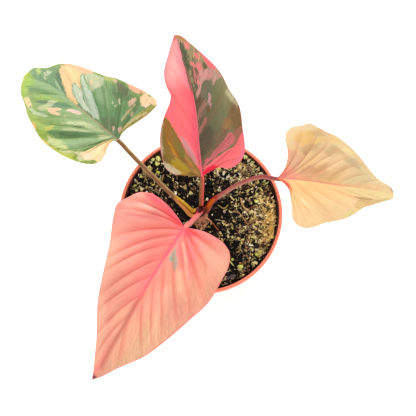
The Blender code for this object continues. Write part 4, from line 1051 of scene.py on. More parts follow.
def blade_relief(blade, side, w, u, row, share):
    """Height of the blade's upper face over its flat plane: fold, sag, waved edge and quilting."""
    which = 0 if side == "left" else 1
    rise = blade["fold"][which] * (np.sqrt(w * w + 4.0) - 2.0) - blade["sag"][which] * w * w / 40.0
    height, waves, phase = blade["wave"]
    turn = 0.5 * which
    wave = np.sin(math.tau * (waves * share + phase + turn))
    wave = wave * np.sin(math.pi * np.clip(share, 0.0, 1.0)) ** 0.5
    widths = np.diff([0.0, *blade[side]["vein_ends"], 1.0]) * (len(blade["veins"]) + 1)
    swell = np.minimum(1.3, widths)[np.minimum(row.astype(int), len(blade["veins"]))]
    quilt = blade["quilt"] * swell * np.abs(np.sin(math.pi * row)) * np.sin(math.pi * u) ** 0.7
    return rise + height * u ** 2 * wave + quilt * (1.0 - share ** 3)


def distance_to_line(s, w, line):
    """Distance of flat points from a chain of straight pieces."""
    nearest = np.full(s.shape, 1e9)
    for (s0, w0), (s1, w1) in zip(line[:-1], line[1:]):
        ds, dw = s1 - s0, w1 - w0
        share = np.clip(((s - s0) * ds + (w - w0) * dw) / (ds * ds + dw * dw + 1e-9), 0.0, 1.0)
        nearest = np.minimum(nearest, np.hypot(s - s0 - share * ds, w - w0 - share * dw))
    return nearest


def depth_inside(s, w, outline):
    """Distance of flat points from a closed outline, positive inside it."""
    ring = list(outline) + [outline[0]]
    inside = np.zeros(s.shape, bool)
    for (s0, w0), (s1, w1) in zip(ring[:-1], ring[1:]):
        if w0 != w1:
            crosses = ((w0 > w) != (w1 > w)) & (s < s0 + (w - w0) * (s1 - s0) / (w1 - w0))
            inside ^= crosses
    distance = distance_to_line(s, w, ring)
    return np.where(inside, distance, -distance)


def leaf_half(blade, side, midrib, rows, columns):
    """Upper and under points of half a blade, and what its paint reads there."""
    flat, starts, shares = vein_grid(blade, side, midrib.length, rows, columns)
    s, w = flat[..., 0], flat[..., 1]
    u = np.ones((len(rows), 1)) * columns
    row = rows[:, None] * np.ones_like(u)
    v = shares[:, None] * np.ones_like(u)
    origin, _, left, up = midrib.axes(s)
    share = np.clip(s / midrib.length, 0.0, 1.0)
    spacing = np.linalg.norm(np.gradient(flat, axis=0), axis=-1) * ROWS_PER_VEIN
    to_vein = np.abs(row - np.clip(np.round(row), 1.0, len(blade["veins"]))) * spacing
    flats = np.stack([s, w, np.zeros_like(s)], axis=-1).reshape(-1, 3)
    seed = 5.0 if side == "left" else 9.0
    ripple = np.stack([s / 9.0 - w / 30.0, w / 4.0, np.full_like(s, seed)], axis=-1).reshape(-1, 3)
    uneven = 0.3 * lumps(flats, 9.0, seed) + 0.22 * lumps(ripple, 1.0, seed)
    uneven = uneven.reshape(s.shape) * np.sin(math.pi * u)
    groove = 0.45 * np.exp(-(w / 1.0) ** 2) * (1.0 - share) ** 0.5
    impressed = 0.16 * np.exp(-(to_vein / 0.5) ** 2) * np.sin(math.pi * np.clip(u, 0.0, 1.0)) ** 0.5
    rise = blade_relief(blade, side, w, u, row, v) + uneven - groove - impressed
    upper = origin + left * w[..., None] + up * rise[..., None]
    rib = MIDRIB_HEIGHT * (1.0 - share) ** 0.8 * np.exp(-(w / MIDRIB_WIDTH) ** 2)
    side_ribs = 0.4 * np.exp(-(to_vein / 0.7) ** 2) * (1.0 - u) ** 0.6 * np.clip(spacing / 6.0, 0.0, 1.0)
    thickness = BLADE_THICKNESS * (1.0 - 0.45 * u ** 4) + rib + side_ribs
    under = upper - up * thickness[..., None]
    lengths = np.linalg.norm(np.diff(flat, axis=1), axis=-1)
    along_vein = np.concatenate([np.zeros((len(rows), 1)), np.cumsum(lengths, axis=1)], axis=1)
    edge = spline(blade[side]["edge"], 12)
    rim = np.vstack([spline(blade[side]["notch"], 12), edge])
    edge_length = np.linalg.norm(np.diff(edge, axis=0), axis=1).sum()
    half = 0.0 if side == "left" else 1.0
    values = {
        "u": u,
        "half": np.full_like(u, half),
        "to_vein": to_vein,
        "between": np.where(row < len(blade["veins"]), row % 1.0, 0.0),
        "to_midrib": np.abs(w) / (1.0 - 0.75 * share),
        "to_edge": distance_to_line(s, w, rim),
        "s": s,
        "w": w,
    }
    vein = np.stack([along_vein, v * edge_length, np.full_like(u, 50.0 * half)], axis=-1)
    return upper, under, values, vein, starts == 0.0


def picture_place(points):
    """Pixels across and down in the photograph of points in millimetres."""
    gap = np.asarray(points) - CAMERA_AIM
    scale = FOCAL_PIXELS / (CAMERA_DISTANCE - gap @ TOWARDS_CAMERA)
    return 0.5 * PICTURE_WIDTH + np.stack([scale * gap[..., 0], -scale * (gap @ PICTURE_UP)], axis=-1)


def on_blade(halves, half, outline):
    """An outline from the photograph as flat (s, w) on the blade.

    Each pixel is placed by a plane fitted to the points of the blade that are seen nearest to it, and
    the nearer ones count more.
    """
    if half == "flat":
        return outline
    chosen = {"left": halves[:1], "right": halves[1:], "both": halves}[half]
    seen = np.concatenate([picture_place(h[0]).reshape(-1, 2) for h in chosen])
    flats = np.concatenate([np.stack([h[2]["s"], h[2]["w"]], axis=-1).reshape(-1, 2) for h in chosen])
    placed = []
    for pixel in outline:
        away = seen - pixel
        distance = np.hypot(away[:, 0], away[:, 1])
        near = np.argsort(distance)[:FIT_POINTS]
        weight = (1.0 / (distance[near] + 0.3))[:, None]
        known = np.column_stack([np.ones(FIT_POINTS), away[near]]) * weight
        placed.append(np.linalg.lstsq(known, flats[near] * weight, rcond=None)[0][0])
    return placed


def leaf_faces(numbers, count):
    """Faces of the upper face, the under face and the rim, from the numbers of the upper points."""
    a, b = numbers[:, :-1, :-1], numbers[:, :-1, 1:]
    c, d = numbers[:, 1:, 1:], numbers[:, 1:, :-1]
    triangles = []
    for half, turn in ((0, 1), (1, -1)):
        for corners in ((a, b, c), (a, c, d)):
            triangles.append(np.stack([x[half].ravel() for x in corners], axis=-1)[:, ::turn])
    triangles = np.concatenate(triangles)
    distinct = (triangles[:, 0] != triangles[:, 1]) & (triangles[:, 1] != triangles[:, 2])
    triangles = triangles[distinct & (triangles[:, 0] != triangles[:, 2])]
    faces = triangles.tolist() + (triangles[:, ::-1] + count).tolist()
    rim = np.concatenate([numbers[0, 0, :], numbers[0, :, -1], numbers[1, ::-1, -1], numbers[1, 0, ::-1]])
    rim = rim[np.concatenate([[True], rim[1:] != rim[:-1]])]
    for p, q in zip(rim[:-1], rim[1:]):
        faces.append([q, p, p + count, q + count])
    return faces


def make_leaf(where):
    """A thin blade with impressed veins above, ribs below, and painted patches."""
    blade = BLADES[where]
    midrib = Midrib(blade)
    rows = np.linspace(0.0, len(blade["veins"]) + 1.0, (len(blade["veins"]) + 1) * ROWS_PER_VEIN + 1)
    t = np.linspace(0.0, 1.0, COLUMN_COUNT)
    columns = t - 0.55 * np.sin(math.tau * t) / math.tau
    halves = [leaf_half(blade, side, midrib, rows, columns) for side in ("left", "right")]

    # Both halves share the midrib's points. The rows from its foot start in one point, and the tip is one.
    ids = np.arange(2 * len(rows) * COLUMN_COUNT).reshape(2, len(rows), COLUMN_COUNT)
    ids[1, :, 0] = ids[0, :, 0]
    ids[:, halves[0][4], 0] = ids[0, 0, 0]
    ids[:, -1, :] = ids[0, -1, 0]
    kept, numbers = np.unique(ids, return_inverse=True)
    upper = np.concatenate([h[0].reshape(-1, 3) for h in halves])[kept]
    under = np.concatenate([h[1].reshape(-1, 3) for h in halves])[kept]
    vein = np.tile(np.concatenate([h[3].reshape(-1, 3) for h in halves])[kept], (2, 1))
    values = {"under": np.repeat([0.0, 1.0], len(kept))}
    for key in halves[0][2]:
        values[key] = np.tile(np.concatenate([h[2][key].ravel() for h in halves])[kept], 2)
    for i, zone in enumerate(LEAF_LOOKS[where]["patches"]):
        outline = on_blade(halves, zone["half"], zone["outline"])
        values[f"patch{i}"] = depth_inside(values["s"], values["w"], outline)

    name, solid = "leaf_" + where, "blade_" + where
    faces = leaf_faces(numbers.reshape(ids.shape), len(kept))
    mesh = make_mesh(name, np.concatenate([upper, under]), faces, values, {"vein": vein})
    face_outwards(mesh)
    return add_piece(name, mesh, leaf_material(where), solid, 50.0)


def leaf_patches(paint, look, colour, vein, streaks, blots):
    """The patches, with borders that follow the veins, and the flecks, over a leaf's ground colour."""
    fine = paint.noise(paint.times(vein, (0.7, 1.5, 1.0)), detail=4.0, roughness=0.7)
    jag = paint.math("ADD", paint.math("MULTIPLY", blots, 2.0), paint.math("MULTIPLY", fine, 1.6))
    jag = paint.math("SUBTRACT", jag, 1.8)
    for i, zone in enumerate(look["patches"]):
        ragged = paint.math("MULTIPLY", jag, 2.2 * zone["jag"])
        depth = paint.math("ADD", paint.attribute(f"patch{i}"), ragged)
        mask = paint.step(depth, -zone["soft"], zone["soft"], 0.0, zone["cover"])
        if zone["broken"] > 0.0:
            level = 0.32 + 0.36 * zone["broken"]
            mask = paint.math("MULTIPLY", mask, paint.step(streaks, level - 0.03, level + 0.03))
        tint = [min(255.0, look["paint"] * c) for c in zone["colour"]]
        colour = paint.mix(mask, colour, rgb(*tint))
    fleck_colour, level, strength = look["flecks"]
    flecks = paint.math("MULTIPLY", paint.step(fine, level, level + 0.04), paint.step(streaks, 0.42, 0.56))
    return paint.mix(paint.math("MULTIPLY", flecks, strength), colour, rgb(*fleck_colour))


def leaf_lines(paint, look, colour, u, half, streaks):
    """Painted shade in the valleys between the veins, the creases on them, the margin and the midrib."""
    # Painted shade: a darker band on the base side of each vein, where the quilted blade turns away from the
    # light.
    valley_shade_colour, strength = look["valley_shade"]
    valley_shade = paint.step(paint.attribute("between"), 0.5, 0.95, 0.0, strength)
    along_vein = paint.math("MULTIPLY", paint.step(u, 0.0, 0.3), paint.step(u, 0.6, 1.0, 1.0, 0.2))
    valley_shade = paint.math("MULTIPLY", valley_shade, along_vein)
    valley_shade = paint.math("MULTIPLY", valley_shade, paint.step(streaks, 0.3, 0.6, 0.5, 1.1))
    colour = paint.mix(valley_shade, colour, rgb(*valley_shade_colour))
    for side, share in (("left", paint.math("SUBTRACT", 1.0, half)), ("right", half)):
        crease_colour, crease_width, strength = look["creases"][side]
        crease = paint.step(paint.attribute("to_vein"), 0.0, crease_width, strength, 0.0)
        crease = paint.math("MULTIPLY", crease, paint.step(u, 0.55, 1.0, 1.0, 0.2))
        colour = paint.mix(paint.math("MULTIPLY", crease, share), colour, rgb(*crease_colour))
    margin_colour, margin_width, strength = look["margin"]
    margin = paint.step(paint.attribute("to_edge"), 0.2 * margin_width, margin_width, strength, 0.0)
    margin = paint.math("MULTIPLY", margin, paint.step(streaks, 0.3, 0.6, 0.5, 1.0))
    colour = paint.mix(margin, colour, rgb(*margin_colour))
    rib_colour, rib_width, rib_end = look["midrib"]
    rib = paint.step(paint.attribute("to_midrib"), 0.35 * rib_width, rib_width, 0.85, 0.0)
    rib = paint.math("MULTIPLY", rib, paint.step(paint.attribute("s"), 0.6 * rib_end, rib_end, 1.0, 0.0))
    return paint.mix(rib, colour, rgb(*rib_colour))


def leaf_material(where):
    """Ground colours under patches, an uneven tone, the veins' lines and painted shade in the valleys, with a
    paler underside.
    """
    look = LEAF_LOOKS[where]
    paint = Paint("leaf_" + where, specular=0.3)
    vein = paint.attribute("vein", "Vector")
    streaks = paint.noise(paint.times(vein, (0.07, 0.9, 1.0)), detail=4.0, roughness=0.6)
    blots = paint.noise(paint.times(vein, (0.22, 0.5, 1.0)), detail=5.0, roughness=0.65)
    grain = paint.noise(paint.times(vein, (0.9, 2.2, 1.0)), detail=3.0)
    u = paint.attribute("u")
    half = paint.attribute("half")
    colour = paint.mix(half, paint.ramp(u, look["left"]), paint.ramp(u, look["right"]))
    colour = leaf_patches(paint, look, colour, vein, streaks, blots)
    uneven = look["uneven"]
    tone = paint.step(streaks, 0.3, 0.7, 1.0 - uneven, 1.0 + uneven)
    tone = paint.math("MULTIPLY", tone, paint.step(blots, 0.3, 0.7, 1.0 - 0.7 * uneven, 1.0 + 0.7 * uneven))
    tone = paint.math("MULTIPLY", tone, paint.step(grain, 0.25, 0.75, 0.94, 1.06))
    colour = leaf_lines(paint, look, paint.shade(colour, tone), u, half, streaks)
    under = paint.attribute("under")
    colour = paint.mix(paint.math("MULTIPLY", under, 0.55), colour, rgb(*look["under"]))
    height = paint.math("ADD", paint.math("MULTIPLY", streaks, 0.6), grain)
    roughness = paint.step(blots, 0.3, 0.7, 0.42, 0.52)
    roughness = paint.math("ADD", roughness, paint.math("MULTIPLY", under, 0.15))
    return paint.finish(colour, roughness, height, 0.1)


def stalk_section(width, depth, open_share, groove):
    """A stalk's section from round to a sheath, as (x, y, hollow), with the hollow on the +Y side."""
    angles = np.linspace(math.pi, math.tau, 21)
    under = np.stack([width * np.cos(angles), depth * np.sin(angles), np.zeros(21)], axis=-1)
    x = np.cos(np.linspace(0.0, math.pi, 25)[1:-1])
    arch = depth * np.sqrt(1.0 - x * x)
    hollow = open_share * np.exp(-(np.abs(x) / groove) ** 4)
    over = np.stack([width * x, arch - hollow * (arch + 0.5 * depth), hollow], axis=-1)
    return np.concatenate([under, over])


def stalk_route(where):
    """The stalk's path from the crown up into the underside of its blade."""
    stalk = STALKS[where]
    way = unit(np.array(stalk["leaves_crown"], float))
    foot = np.array(CROWN_CENTRE) + way * (CROWN_RADIUS - 1.0)
    origin, _, _, up = Midrib(BLADES[where]).axes(np.array([-1.5, 3.0, 8.0, 14.0]))
    into_blade = origin - up * np.array([2.2, 2.5, 2.0, 1.4])[:, None]
    route = spline([foot, foot + way * 2.8, *stalk["path"], *into_blade], 16)
    return along(route, np.linspace(0.0, 1.0, STALK_STATIONS))


def make_stalk(where):
    """A stalk that is round above and opens into a sheath at its foot."""
    stalk = STALKS[where]
    sheath = stalk["sheath"]
    curve = stalk_route(where)
    steps = np.linalg.norm(np.diff(curve, axis=0), axis=1)
    travelled = np.concatenate([[0.0], np.cumsum(steps)])
    length = travelled[-1]
    ahead = unit(np.gradient(curve, axis=0))
    side = unit(np.cross(ahead, np.array(stalk["groove_faces"], float)))
    over = np.cross(side, ahead)
    points, fibre = [], []
    values = {"x": [], "hollow": [], "sheath": [], "travelled": []}
    for i, at in enumerate(travelled):
        share = at / length
        radius = stalk["radius"][0] + (stalk["radius"][1] - stalk["radius"][0]) * share
        radius *= 1.0 - 0.62 * max(0.0, 1.0 - (length - at) / 14.0) ** 1.5
        reach = at / sheath["length"]
        open_share = max(0.0, 1.0 - reach ** 3)
        width = radius + (sheath["width"] - radius) * max(0.0, 1.0 - reach)
        section = stalk_section(width, radius * (1.0 + 0.12 * open_share), open_share, sheath["groove"])
        points.append(curve[i] + side[i] * section[:, :1] + over[i] * section[:, 1:2])
        values["x"].append(section[:, 0] / width)
        values["hollow"].append(section[:, 2])
        values["sheath"].append(np.full(len(section), open_share))
        values["travelled"].append(np.full(len(section), at))
        angle = np.arctan2(section[:, 1], section[:, 0])
        around = [np.full(len(section), at), 2.0 * np.cos(angle), 2.0 * np.sin(angle)]
        fibre.append(np.stack(around, axis=-1))
    name, solid = "stalk_" + where, "petiole_" + where
    faces = tube_faces(len(points), len(points[0]))
    values = {key: np.concatenate(value) for key, value in values.items()}
    mesh = make_mesh(name, np.concatenate(points), faces, values, {"fibre": np.concatenate(fibre)})
    face_outwards(mesh)
    return add_piece(name, mesh, stalk_material(where), solid, 60.0)


def tube_faces(rings, count):
    """Faces of a closed tube of rings with count points each."""
    faces = []
    for ring in range(rings - 1):
        for i in range(count):
            a = ring * count + i
            b = ring * count + (i + 1) % count
            faces.append((a, b, b + count, a + count))
    faces.append(tuple(reversed(range(count))))
    faces.append(tuple(range((rings - 1) * count, rings * count)))
    return faces


def stalk_material(where):
    """Colour from side to side, a sheath of its own colour with a darker groove, and fine fibres."""
    look = STALK_LOOKS[where]
    paint = Paint("stalk_" + where, specular=0.22)
    fibre = paint.attribute("fibre", "Vector")
    streaks = paint.noise(paint.times(fibre, (0.12, 1.2, 1.2)), detail=4.0)
    blots = paint.noise(paint.times(fibre, (0.25, 0.5, 0.5)), detail=3.0)
    x = paint.math("MULTIPLY_ADD", paint.attribute("x"), 0.5)
    x.node.inputs[2].default_value = 0.5
    shifted = paint.math("ADD", x, paint.step(blots, 0.3, 0.7, -0.12, 0.12))
    colour = paint.ramp(shifted, list(zip((0.08, 0.45, 0.92), look["sides"])))
    sheath = paint.attribute("sheath")
    sheath_colour = paint.mix(paint.step(shifted, 0.4, 0.6), rgb(*look["sheath"][0]), rgb(*look["sheath"][1]))
    colour = paint.mix(paint.step(sheath, 0.0, 0.5, 0.0, 0.9), colour, sheath_colour)
    hollow = paint.attribute("hollow")
    rim = paint.math("MULTIPLY", paint.step(hollow, 0.03, 0.2), paint.step(hollow, 0.35, 0.6, 1.0, 0.0))
    colour = paint.mix(rim, colour, rgb(*look["rim"]))
    colour = paint.mix(paint.step(hollow, 0.35, 0.8, 0.0, 0.95), colour, rgb(*look["inside"]))
    foot_colour, reach = look["foot"]
    foot = paint.step(paint.attribute("travelled"), 0.3 * reach, reach, 0.9, 0.0)
    colour = paint.mix(foot, colour, rgb(*foot_colour))
    colour = paint.shade(colour, paint.step(streaks, 0.25, 0.75, 0.82, 1.16))
    return paint.finish(colour, paint.step(blots, 0.3, 0.7, 0.45, 0.6), streaks, 0.25)


def inner_radius(height):
    """The pot's inside radius at a height."""
    return BASE_RADIUS - WALL + WALL_SLOPE * height


def rounded_profile(corners):
    """A profile of (radius, height) with each corner rounded by its own radius."""
    points = []
    for i, (r, z, fillet) in enumerate(corners):
        here = np.array([r, z], float)
        if fillet == 0.0 or i in (0, len(corners) - 1):
            points.append(here)
            continue
        before = np.array(corners[i - 1][:2], float) - here
        after = np.array(corners[i + 1][:2], float) - here
        start = here + before * min(0.49, fillet / np.linalg.norm(before))
        end = here + after * min(0.49, fillet / np.linalg.norm(after))
        for t in np.linspace(0.0, 1.0, 6):
            points.append((1 - t) ** 2 * start + 2 * t * (1 - t) * here + t ** 2 * end)
    return points


def drain_cutter():
    """Upright cylinders where the drain holes go, in one object."""
    drains = bmesh.new()
    for i in range(DRAIN_COUNT):
        angle = math.tau * (i + 0.5) / DRAIN_COUNT
        place = MM * DRAIN_CIRCLE * Vector((math.cos(angle), math.sin(angle), 0.0))
        bmesh.ops.create_cone(
            drains, cap_ends=True, segments=40, radius1=MM * DRAIN_RADIUS, radius2=MM * DRAIN_RADIUS,
            depth=MM * 6.0, matrix=Matrix.Translation(place),
        )
    mesh = bpy.data.meshes.new("drains")
    drains.to_mesh(mesh)
    drains.free()
    cutter = bpy.data.objects.new("drains", mesh)
    bpy.context.scene.collection.objects.link(cutter)
    return cutter


def make_pot():
    """A moulded pot with a rolled lip, a bead round the foot and drain holes."""
    lip_foot = POT_HEIGHT - LIP_HEIGHT
    corners = [
        (0.0, WALL, 0.0),
        (inner_radius(WALL) - 0.2, WALL, 1.6),
        (inner_radius(lip_foot - 2.0), lip_foot - 2.0, 1.0),
        (RIM_RADIUS - LIP_WIDTH, POT_HEIGHT - 0.8, 0.3),
        (RIM_RADIUS - LIP_WIDTH, POT_HEIGHT, 0.5),
        (RIM_RADIUS, POT_HEIGHT, 0.8),
        (RIM_RADIUS, lip_foot, 0.35),
        (RIM_RADIUS - LIP_OVERHANG, lip_foot, 0.25),
        (BASE_RADIUS + 1.05, 5.0, 0.5),
        (BASE_RADIUS + 0.35, 4.4, 0.4),
        (BASE_RADIUS, 0.9, 0.5),
        (BASE_RADIUS - 0.9, 0.0, 0.5),
        (DRAIN_CIRCLE + DRAIN_RADIUS + 4.0, 0.0, 0.2),
        (DRAIN_CIRCLE + DRAIN_RADIUS + 3.6, 0.35, 0.2),
        (DRAIN_CIRCLE - DRAIN_RADIUS - 4.0, 0.35, 0.2),
        (DRAIN_CIRCLE - DRAIN_RADIUS - 4.4, 0.0, 0.2),
        (0.0, 0.0, 0.0),
    ]
    profile = rounded_profile(corners)
    mesh = bpy.data.meshes.new("pot_profile")
    edges = [(i, i + 1) for i in range(len(profile) - 1)]
    mesh.from_pydata([(MM * r, 0.0, MM * z) for r, z in profile], edges, [])
    pot = bpy.data.objects.new("pot_shell", mesh)
    bpy.context.scene.collection.objects.link(pot)
    screw = pot.modifiers.new("Screw", "SCREW")
    screw.axis = "Z"
    screw.steps = POT_STEPS
    screw.render_steps = POT_STEPS
    screw.use_merge_vertices = True
    screw.merge_threshold = 1e-5
    screw.use_normal_calculate = True
    cutter = drain_cutter()
    cut = pot.modifiers.new("Drains", "BOOLEAN")
    cut.object = cutter
    cut.operation = "DIFFERENCE"
    cut.solver = "EXACT"
    depsgraph = bpy.context.evaluated_depsgraph_get()
    finished = bpy.data.meshes.new_from_object(pot.evaluated_get(depsgraph))
    bpy.data.objects.remove(cutter)
    bpy.data.objects.remove(pot)
    return add_piece("pot_shell", finished, pot_material(), "pot", 35.0)


def pot_material():
    """Coral moulded plastic with faint flow marks, and soil dirt with painted shade on the inner wall below
    the lip.
    """
    paint = Paint("pot_plastic", specular=0.45)
    place = paint.place()
    flow = paint.noise(paint.times(place, (0.05, 0.05, 0.25)), detail=3.0)
    grain = paint.noise(place, scale=2.2, detail=2.0)
    dust = paint.noise(place, scale=0.35, detail=5.0, roughness=0.65)
    colour = paint.mix(paint.step(flow, 0.3, 0.7), rgb(243, 123, 95), rgb(247, 130, 102))
    radial = paint.tree.nodes.new("ShaderNodeVectorMath")
    radial.operation = "LENGTH"
    paint.put(radial.inputs[0], paint.times(place, (1.0, 1.0, 0.0)))
    height = paint.height(place)
    wall = paint.math("SUBTRACT", radial.outputs["Value"], paint.math("MULTIPLY", height, WALL_SLOPE))
    inside = paint.step(wall, BASE_RADIUS - WALL * 0.75, BASE_RADIUS - WALL * 0.35, 1.0, 0.0)
    low = paint.step(height, POT_HEIGHT - 1.8, POT_HEIGHT - 0.4, 1.0, 0.1)
    # Soil dirt and painted shade darken the inner wall up to just under the lip.
    dirt_and_shade = paint.math("MULTIPLY", paint.math("MULTIPLY", inside, low), paint.step(dust, 0.2, 0.5, 0.6, 1.0))
    colour = paint.mix(dirt_and_shade, colour, rgb(74, 44, 32))
    roughness = paint.math("ADD", paint.step(dust, 0.3, 0.8, 0.38, 0.5), paint.math("MULTIPLY", dirt_and_shade, 0.3))
    return paint.finish(colour, roughness, grain, 0.04)


def soil_height(x, y):
    """How far the solid soil's top lies over its level, with lumps that fade out at the wall."""
    radius = math.hypot(x, y)
    share = radius / inner_radius(SOIL_LEVEL)
    height = SOIL_MOUND * (0.5 - share ** 2)
    fade = min(1.0, max(0.0, 1.0 - share) / 0.08)
    for i, (width, size) in enumerate(SOIL_LUMPS):
        height += fade * size * noise.noise(Vector((x / width, y / width, 7.3 * (i + 1))))
    return height


def soil_top(x, y):
    """The soil's height with the low bank against the wall, which is highest at the back."""
    radius = math.hypot(x, y)
    rise = min(1.0, max(0.0, (radius - SOIL_BANK_START) / SOIL_BANK_WIDTH))
    share = 0.55 + 0.45 * y / max(1.0, radius)
    return SOIL_LEVEL + soil_height(x, y) + SOIL_BANK * share * rise * rise * (3.0 - 2.0 * rise)


def make_soil():
    """The soil bed, with a crumbly top and plain sides inside the pot."""
    edge = inner_radius(SOIL_LEVEL) - 0.15
    angles = np.linspace(0.0, math.tau, SOIL_STEPS, endpoint=False)
    points = []
    for ring in range(1, SOIL_RINGS + 1):
        radius = edge * ring / SOIL_RINGS
        for angle in angles:
            x, y = radius * math.cos(angle), radius * math.sin(angle)
            z = soil_top(x, y)
            for i, (width, size) in enumerate(SOIL_CRUMB):
                z += size * noise.noise(Vector((x / width, y / width, 3.7 + 5.1 * i)))
            points.append((x, y, z))
    bottom = WALL + 0.3
    foot = inner_radius(bottom) - 1.8
    points += [(foot * math.cos(a), foot * math.sin(a), bottom) for a in angles]
    top_centre, under_centre = len(points), len(points) + 1
    points += [(0.0, 0.0, SOIL_LEVEL + soil_height(0.0, 0.0)), (0.0, 0.0, bottom)]
    faces = []
    for i in range(SOIL_STEPS):
        after = (i + 1) % SOIL_STEPS
        faces.append((top_centre, i, after))
        for ring in range(SOIL_RINGS):
            a, b = ring * SOIL_STEPS + i, ring * SOIL_STEPS + after
            faces.append((a, a + SOIL_STEPS, b + SOIL_STEPS, b))
        last = SOIL_RINGS * SOIL_STEPS
        faces.append((under_centre, last + after, last + i))
    mesh = make_mesh("soil_bed", points, faces)
    face_outwards(mesh)
    return add_piece("soil_bed", mesh, bed_material(), "soil", 70.0)


def bed_material():
    """Damp black peat with specks of lighter fibre."""
    paint = Paint("soil_bed", specular=0.25)
    place = paint.place()
    crumbs = paint.noise(place, scale=0.9, detail=5.0, roughness=0.7)
    specks = paint.noise(place, scale=1.7, detail=3.0, roughness=0.6)
    colour = paint.ramp(crumbs, [(0.3, (8, 5, 4)), (0.55, (22, 15, 11)), (0.8, (50, 36, 26))])
    colour = paint.mix(paint.step(specks, 0.62, 0.7, 0.0, 0.35), colour, rgb(120, 98, 66))
    return paint.finish(colour, 0.9, crumbs, 0.9)


def turned(yaw, pitch, roll):
    """Rotation matrices for arrays of angles."""
    cy, cp, cr = np.cos(yaw), np.cos(pitch), np.cos(roll)
    sy, sp, sr = np.sin(yaw), np.sin(pitch), np.sin(roll)
    return np.stack([
        np.stack([cy * cp, cy * sp * sr - sy * cr, cy * sp * cr + sy * sr], axis=-1),
        np.stack([sy * cp, sy * sp * sr + cy * cr, sy * sp * cr - cy * sr], axis=-1),
        np.stack([-sp, cp * sr, cp * cr], axis=-1),
    ], axis=1)


def crumb_shape(level):
    """A ball one across, with more faces at a higher level."""
    body = bmesh.new()
    bmesh.ops.create_icosphere(body, subdivisions=level, radius=0.5)
    points = np.array([v.co for v in body.verts])
    faces = np.array([[v.index for v in f.verts] for f in body.faces])
    body.free()
    return points, faces


def strip_shape(stations, corners):
    """A rod from -0.5 to 0.5 along X that narrows to its ends."""
    angles = np.linspace(0.0, math.tau, corners, endpoint=False)
    points, faces = [], []
    for x in np.linspace(-0.5, 0.5, stations):
        girth = 0.5 * (1.0 - (2.0 * abs(x)) ** 3 * 0.6)
        points += [(x, girth * math.cos(a), girth * math.sin(a)) for a in angles]
    for ring in range(stations - 1):
        for i in range(corners):
            a, b = ring * corners + i, ring * corners + (i + 1) % corners
            faces += [(a, b, b + corners), (a, b + corners, a + corners)]
    last = (stations - 1) * corners
    for i in range(1, corners - 1):
        faces += [(0, i + 1, i), (last, last + i, last + i + 1)]
    return np.array(points), np.array(faces)


def hill(x, y, middle, width):
    """A smooth hill that is 1 at its middle, with its own width along each axis."""
    return math.exp(-((x - middle[0]) / width[0]) ** 2 - ((y - middle[1]) / width[1]) ** 2)


def light_share(x, y):
    """How much of the soil's top is covered with light bits, from 0 to 1, with fewer where painted shade
    falls round the stem.
    """
    right = hill(x, y, (50.0, -10.0), (22.0, 34.0))
    back = 0.66 * hill(x, y, (32.0, 35.0), (17.0, 12.0))
    # Painted shade: the stem, dark and low hills thin out the light bits round the stem and beside the front
    # leaf, where the plant shades the soil.
    stem = 0.42 * hill(x, y, (13.0, 11.0), (17.0, 17.0))
    left = 0.3 * hill(x, y, (-48.0, 28.0), (12.0, 16.0))
    dark = 0.75 * hill(x, y, (-14.0, -6.0), (16.0, 14.0))
    low = 0.35 * hill(x, y, (20.0, -32.0), (14.0, 16.0))
    clump = max(0.12, min(1.0, 0.55 + 1.6 * noise.noise(Vector((x / 4.2, y / 4.2, 11.0)))))
    clump = max(clump, min(1.0, 0.9 * right ** 3))
    return clump * min(1.0, max(0.05, 0.29 + 0.68 * right + back + left - dark - low - stem))


def dark_share(x, y):
    """More bits where the soil has fewer light ones."""
    return 1.15 - light_share(x, y)


def even_share(x, y):
    """The same share of bits everywhere."""
    return 1.0


def keep_inside(bits):
    """Loose bits, as (bit, point, xyz), moved towards the pot's axis until each clears the wall."""
    over = np.hypot(bits[..., 0], bits[..., 1]) - inner_radius(bits[..., 2]) + 0.25
    push = np.maximum(0.0, over.max(axis=1))[:, None] * unit(bits[..., :2].mean(axis=1))
    bits[..., :2] -= push[:, None, :]
    return bits


def scatter(name, seed, count, shape, sizes, girth, flat, bend, share_of, material, lift, jitter):
    """Seeded loose bits on the soil's top, joined in one mesh.

    sizes are the smallest and largest length, girth the shares of it across and up, flat the most
    that a bit tilts, bend how far it curves, share_of how likely a bit is at a place, lift how far
    up it lies and jitter how uneven it is.
    """
    random = np.random.default_rng(seed)
    reach = inner_radius(SOIL_LEVEL) - 1.4
    centres = []
    while len(centres) < count:
        x, y = random.uniform(-reach, reach, 2)
        if math.hypot(x, y) < reach and random.random() < share_of(x, y):
            centres.append((x, y, soil_top(x, y)))
    centres = np.array(centres)
    points, faces = shape
    length = sizes[0] + (sizes[1] - sizes[0]) * random.random(count) ** 2.2
    across = length * random.uniform(*girth[0], count)
    upright = length * random.uniform(*girth[1], count)
    scale = np.stack([length, across, upright], axis=-1)
    bits = points[None] + random.normal(0.0, jitter, (count, len(points), 3)) * np.abs(points).max(0)
    curl = random.normal(0.0, bend, (count, 1))
    swing = random.normal(0.0, bend, (count, 1))
    bits = bits * scale[:, None, :]
    bow = points[None, :, 0] ** 2 * 4.0 - 0.5
    bits[..., 2] += length[:, None] * curl * bow
    bits[..., 1] += length[:, None] * swing * bow
    yaw = random.uniform(0.0, math.tau, count)
    pitch = random.normal(0.0, flat, count)
    roll = random.normal(0.0, flat * 1.5, count)
    bits = np.einsum("nij,nkj->nki", turned(yaw, pitch, roll), bits)
    centres[:, 2] += lift + random.uniform(0.0, 0.9, count) * scale[:, 2]
    bits = keep_inside(bits + centres[:, None, :])
    tone = np.repeat(random.random(count), len(points))
    warm = np.exp(-((centres[:, 0] - 52.0) / 9.0) ** 2 - ((centres[:, 1] + 8.0) / 20.0) ** 2)
    all_faces = (faces[None] + len(points) * np.arange(count)[:, None, None]).reshape(-1, 3)
    values = {"tone": tone, "warm": np.repeat(warm, len(points))}
    mesh = make_mesh(name, bits.reshape(-1, 3), all_faces, values)
    return add_piece(name, mesh, material)


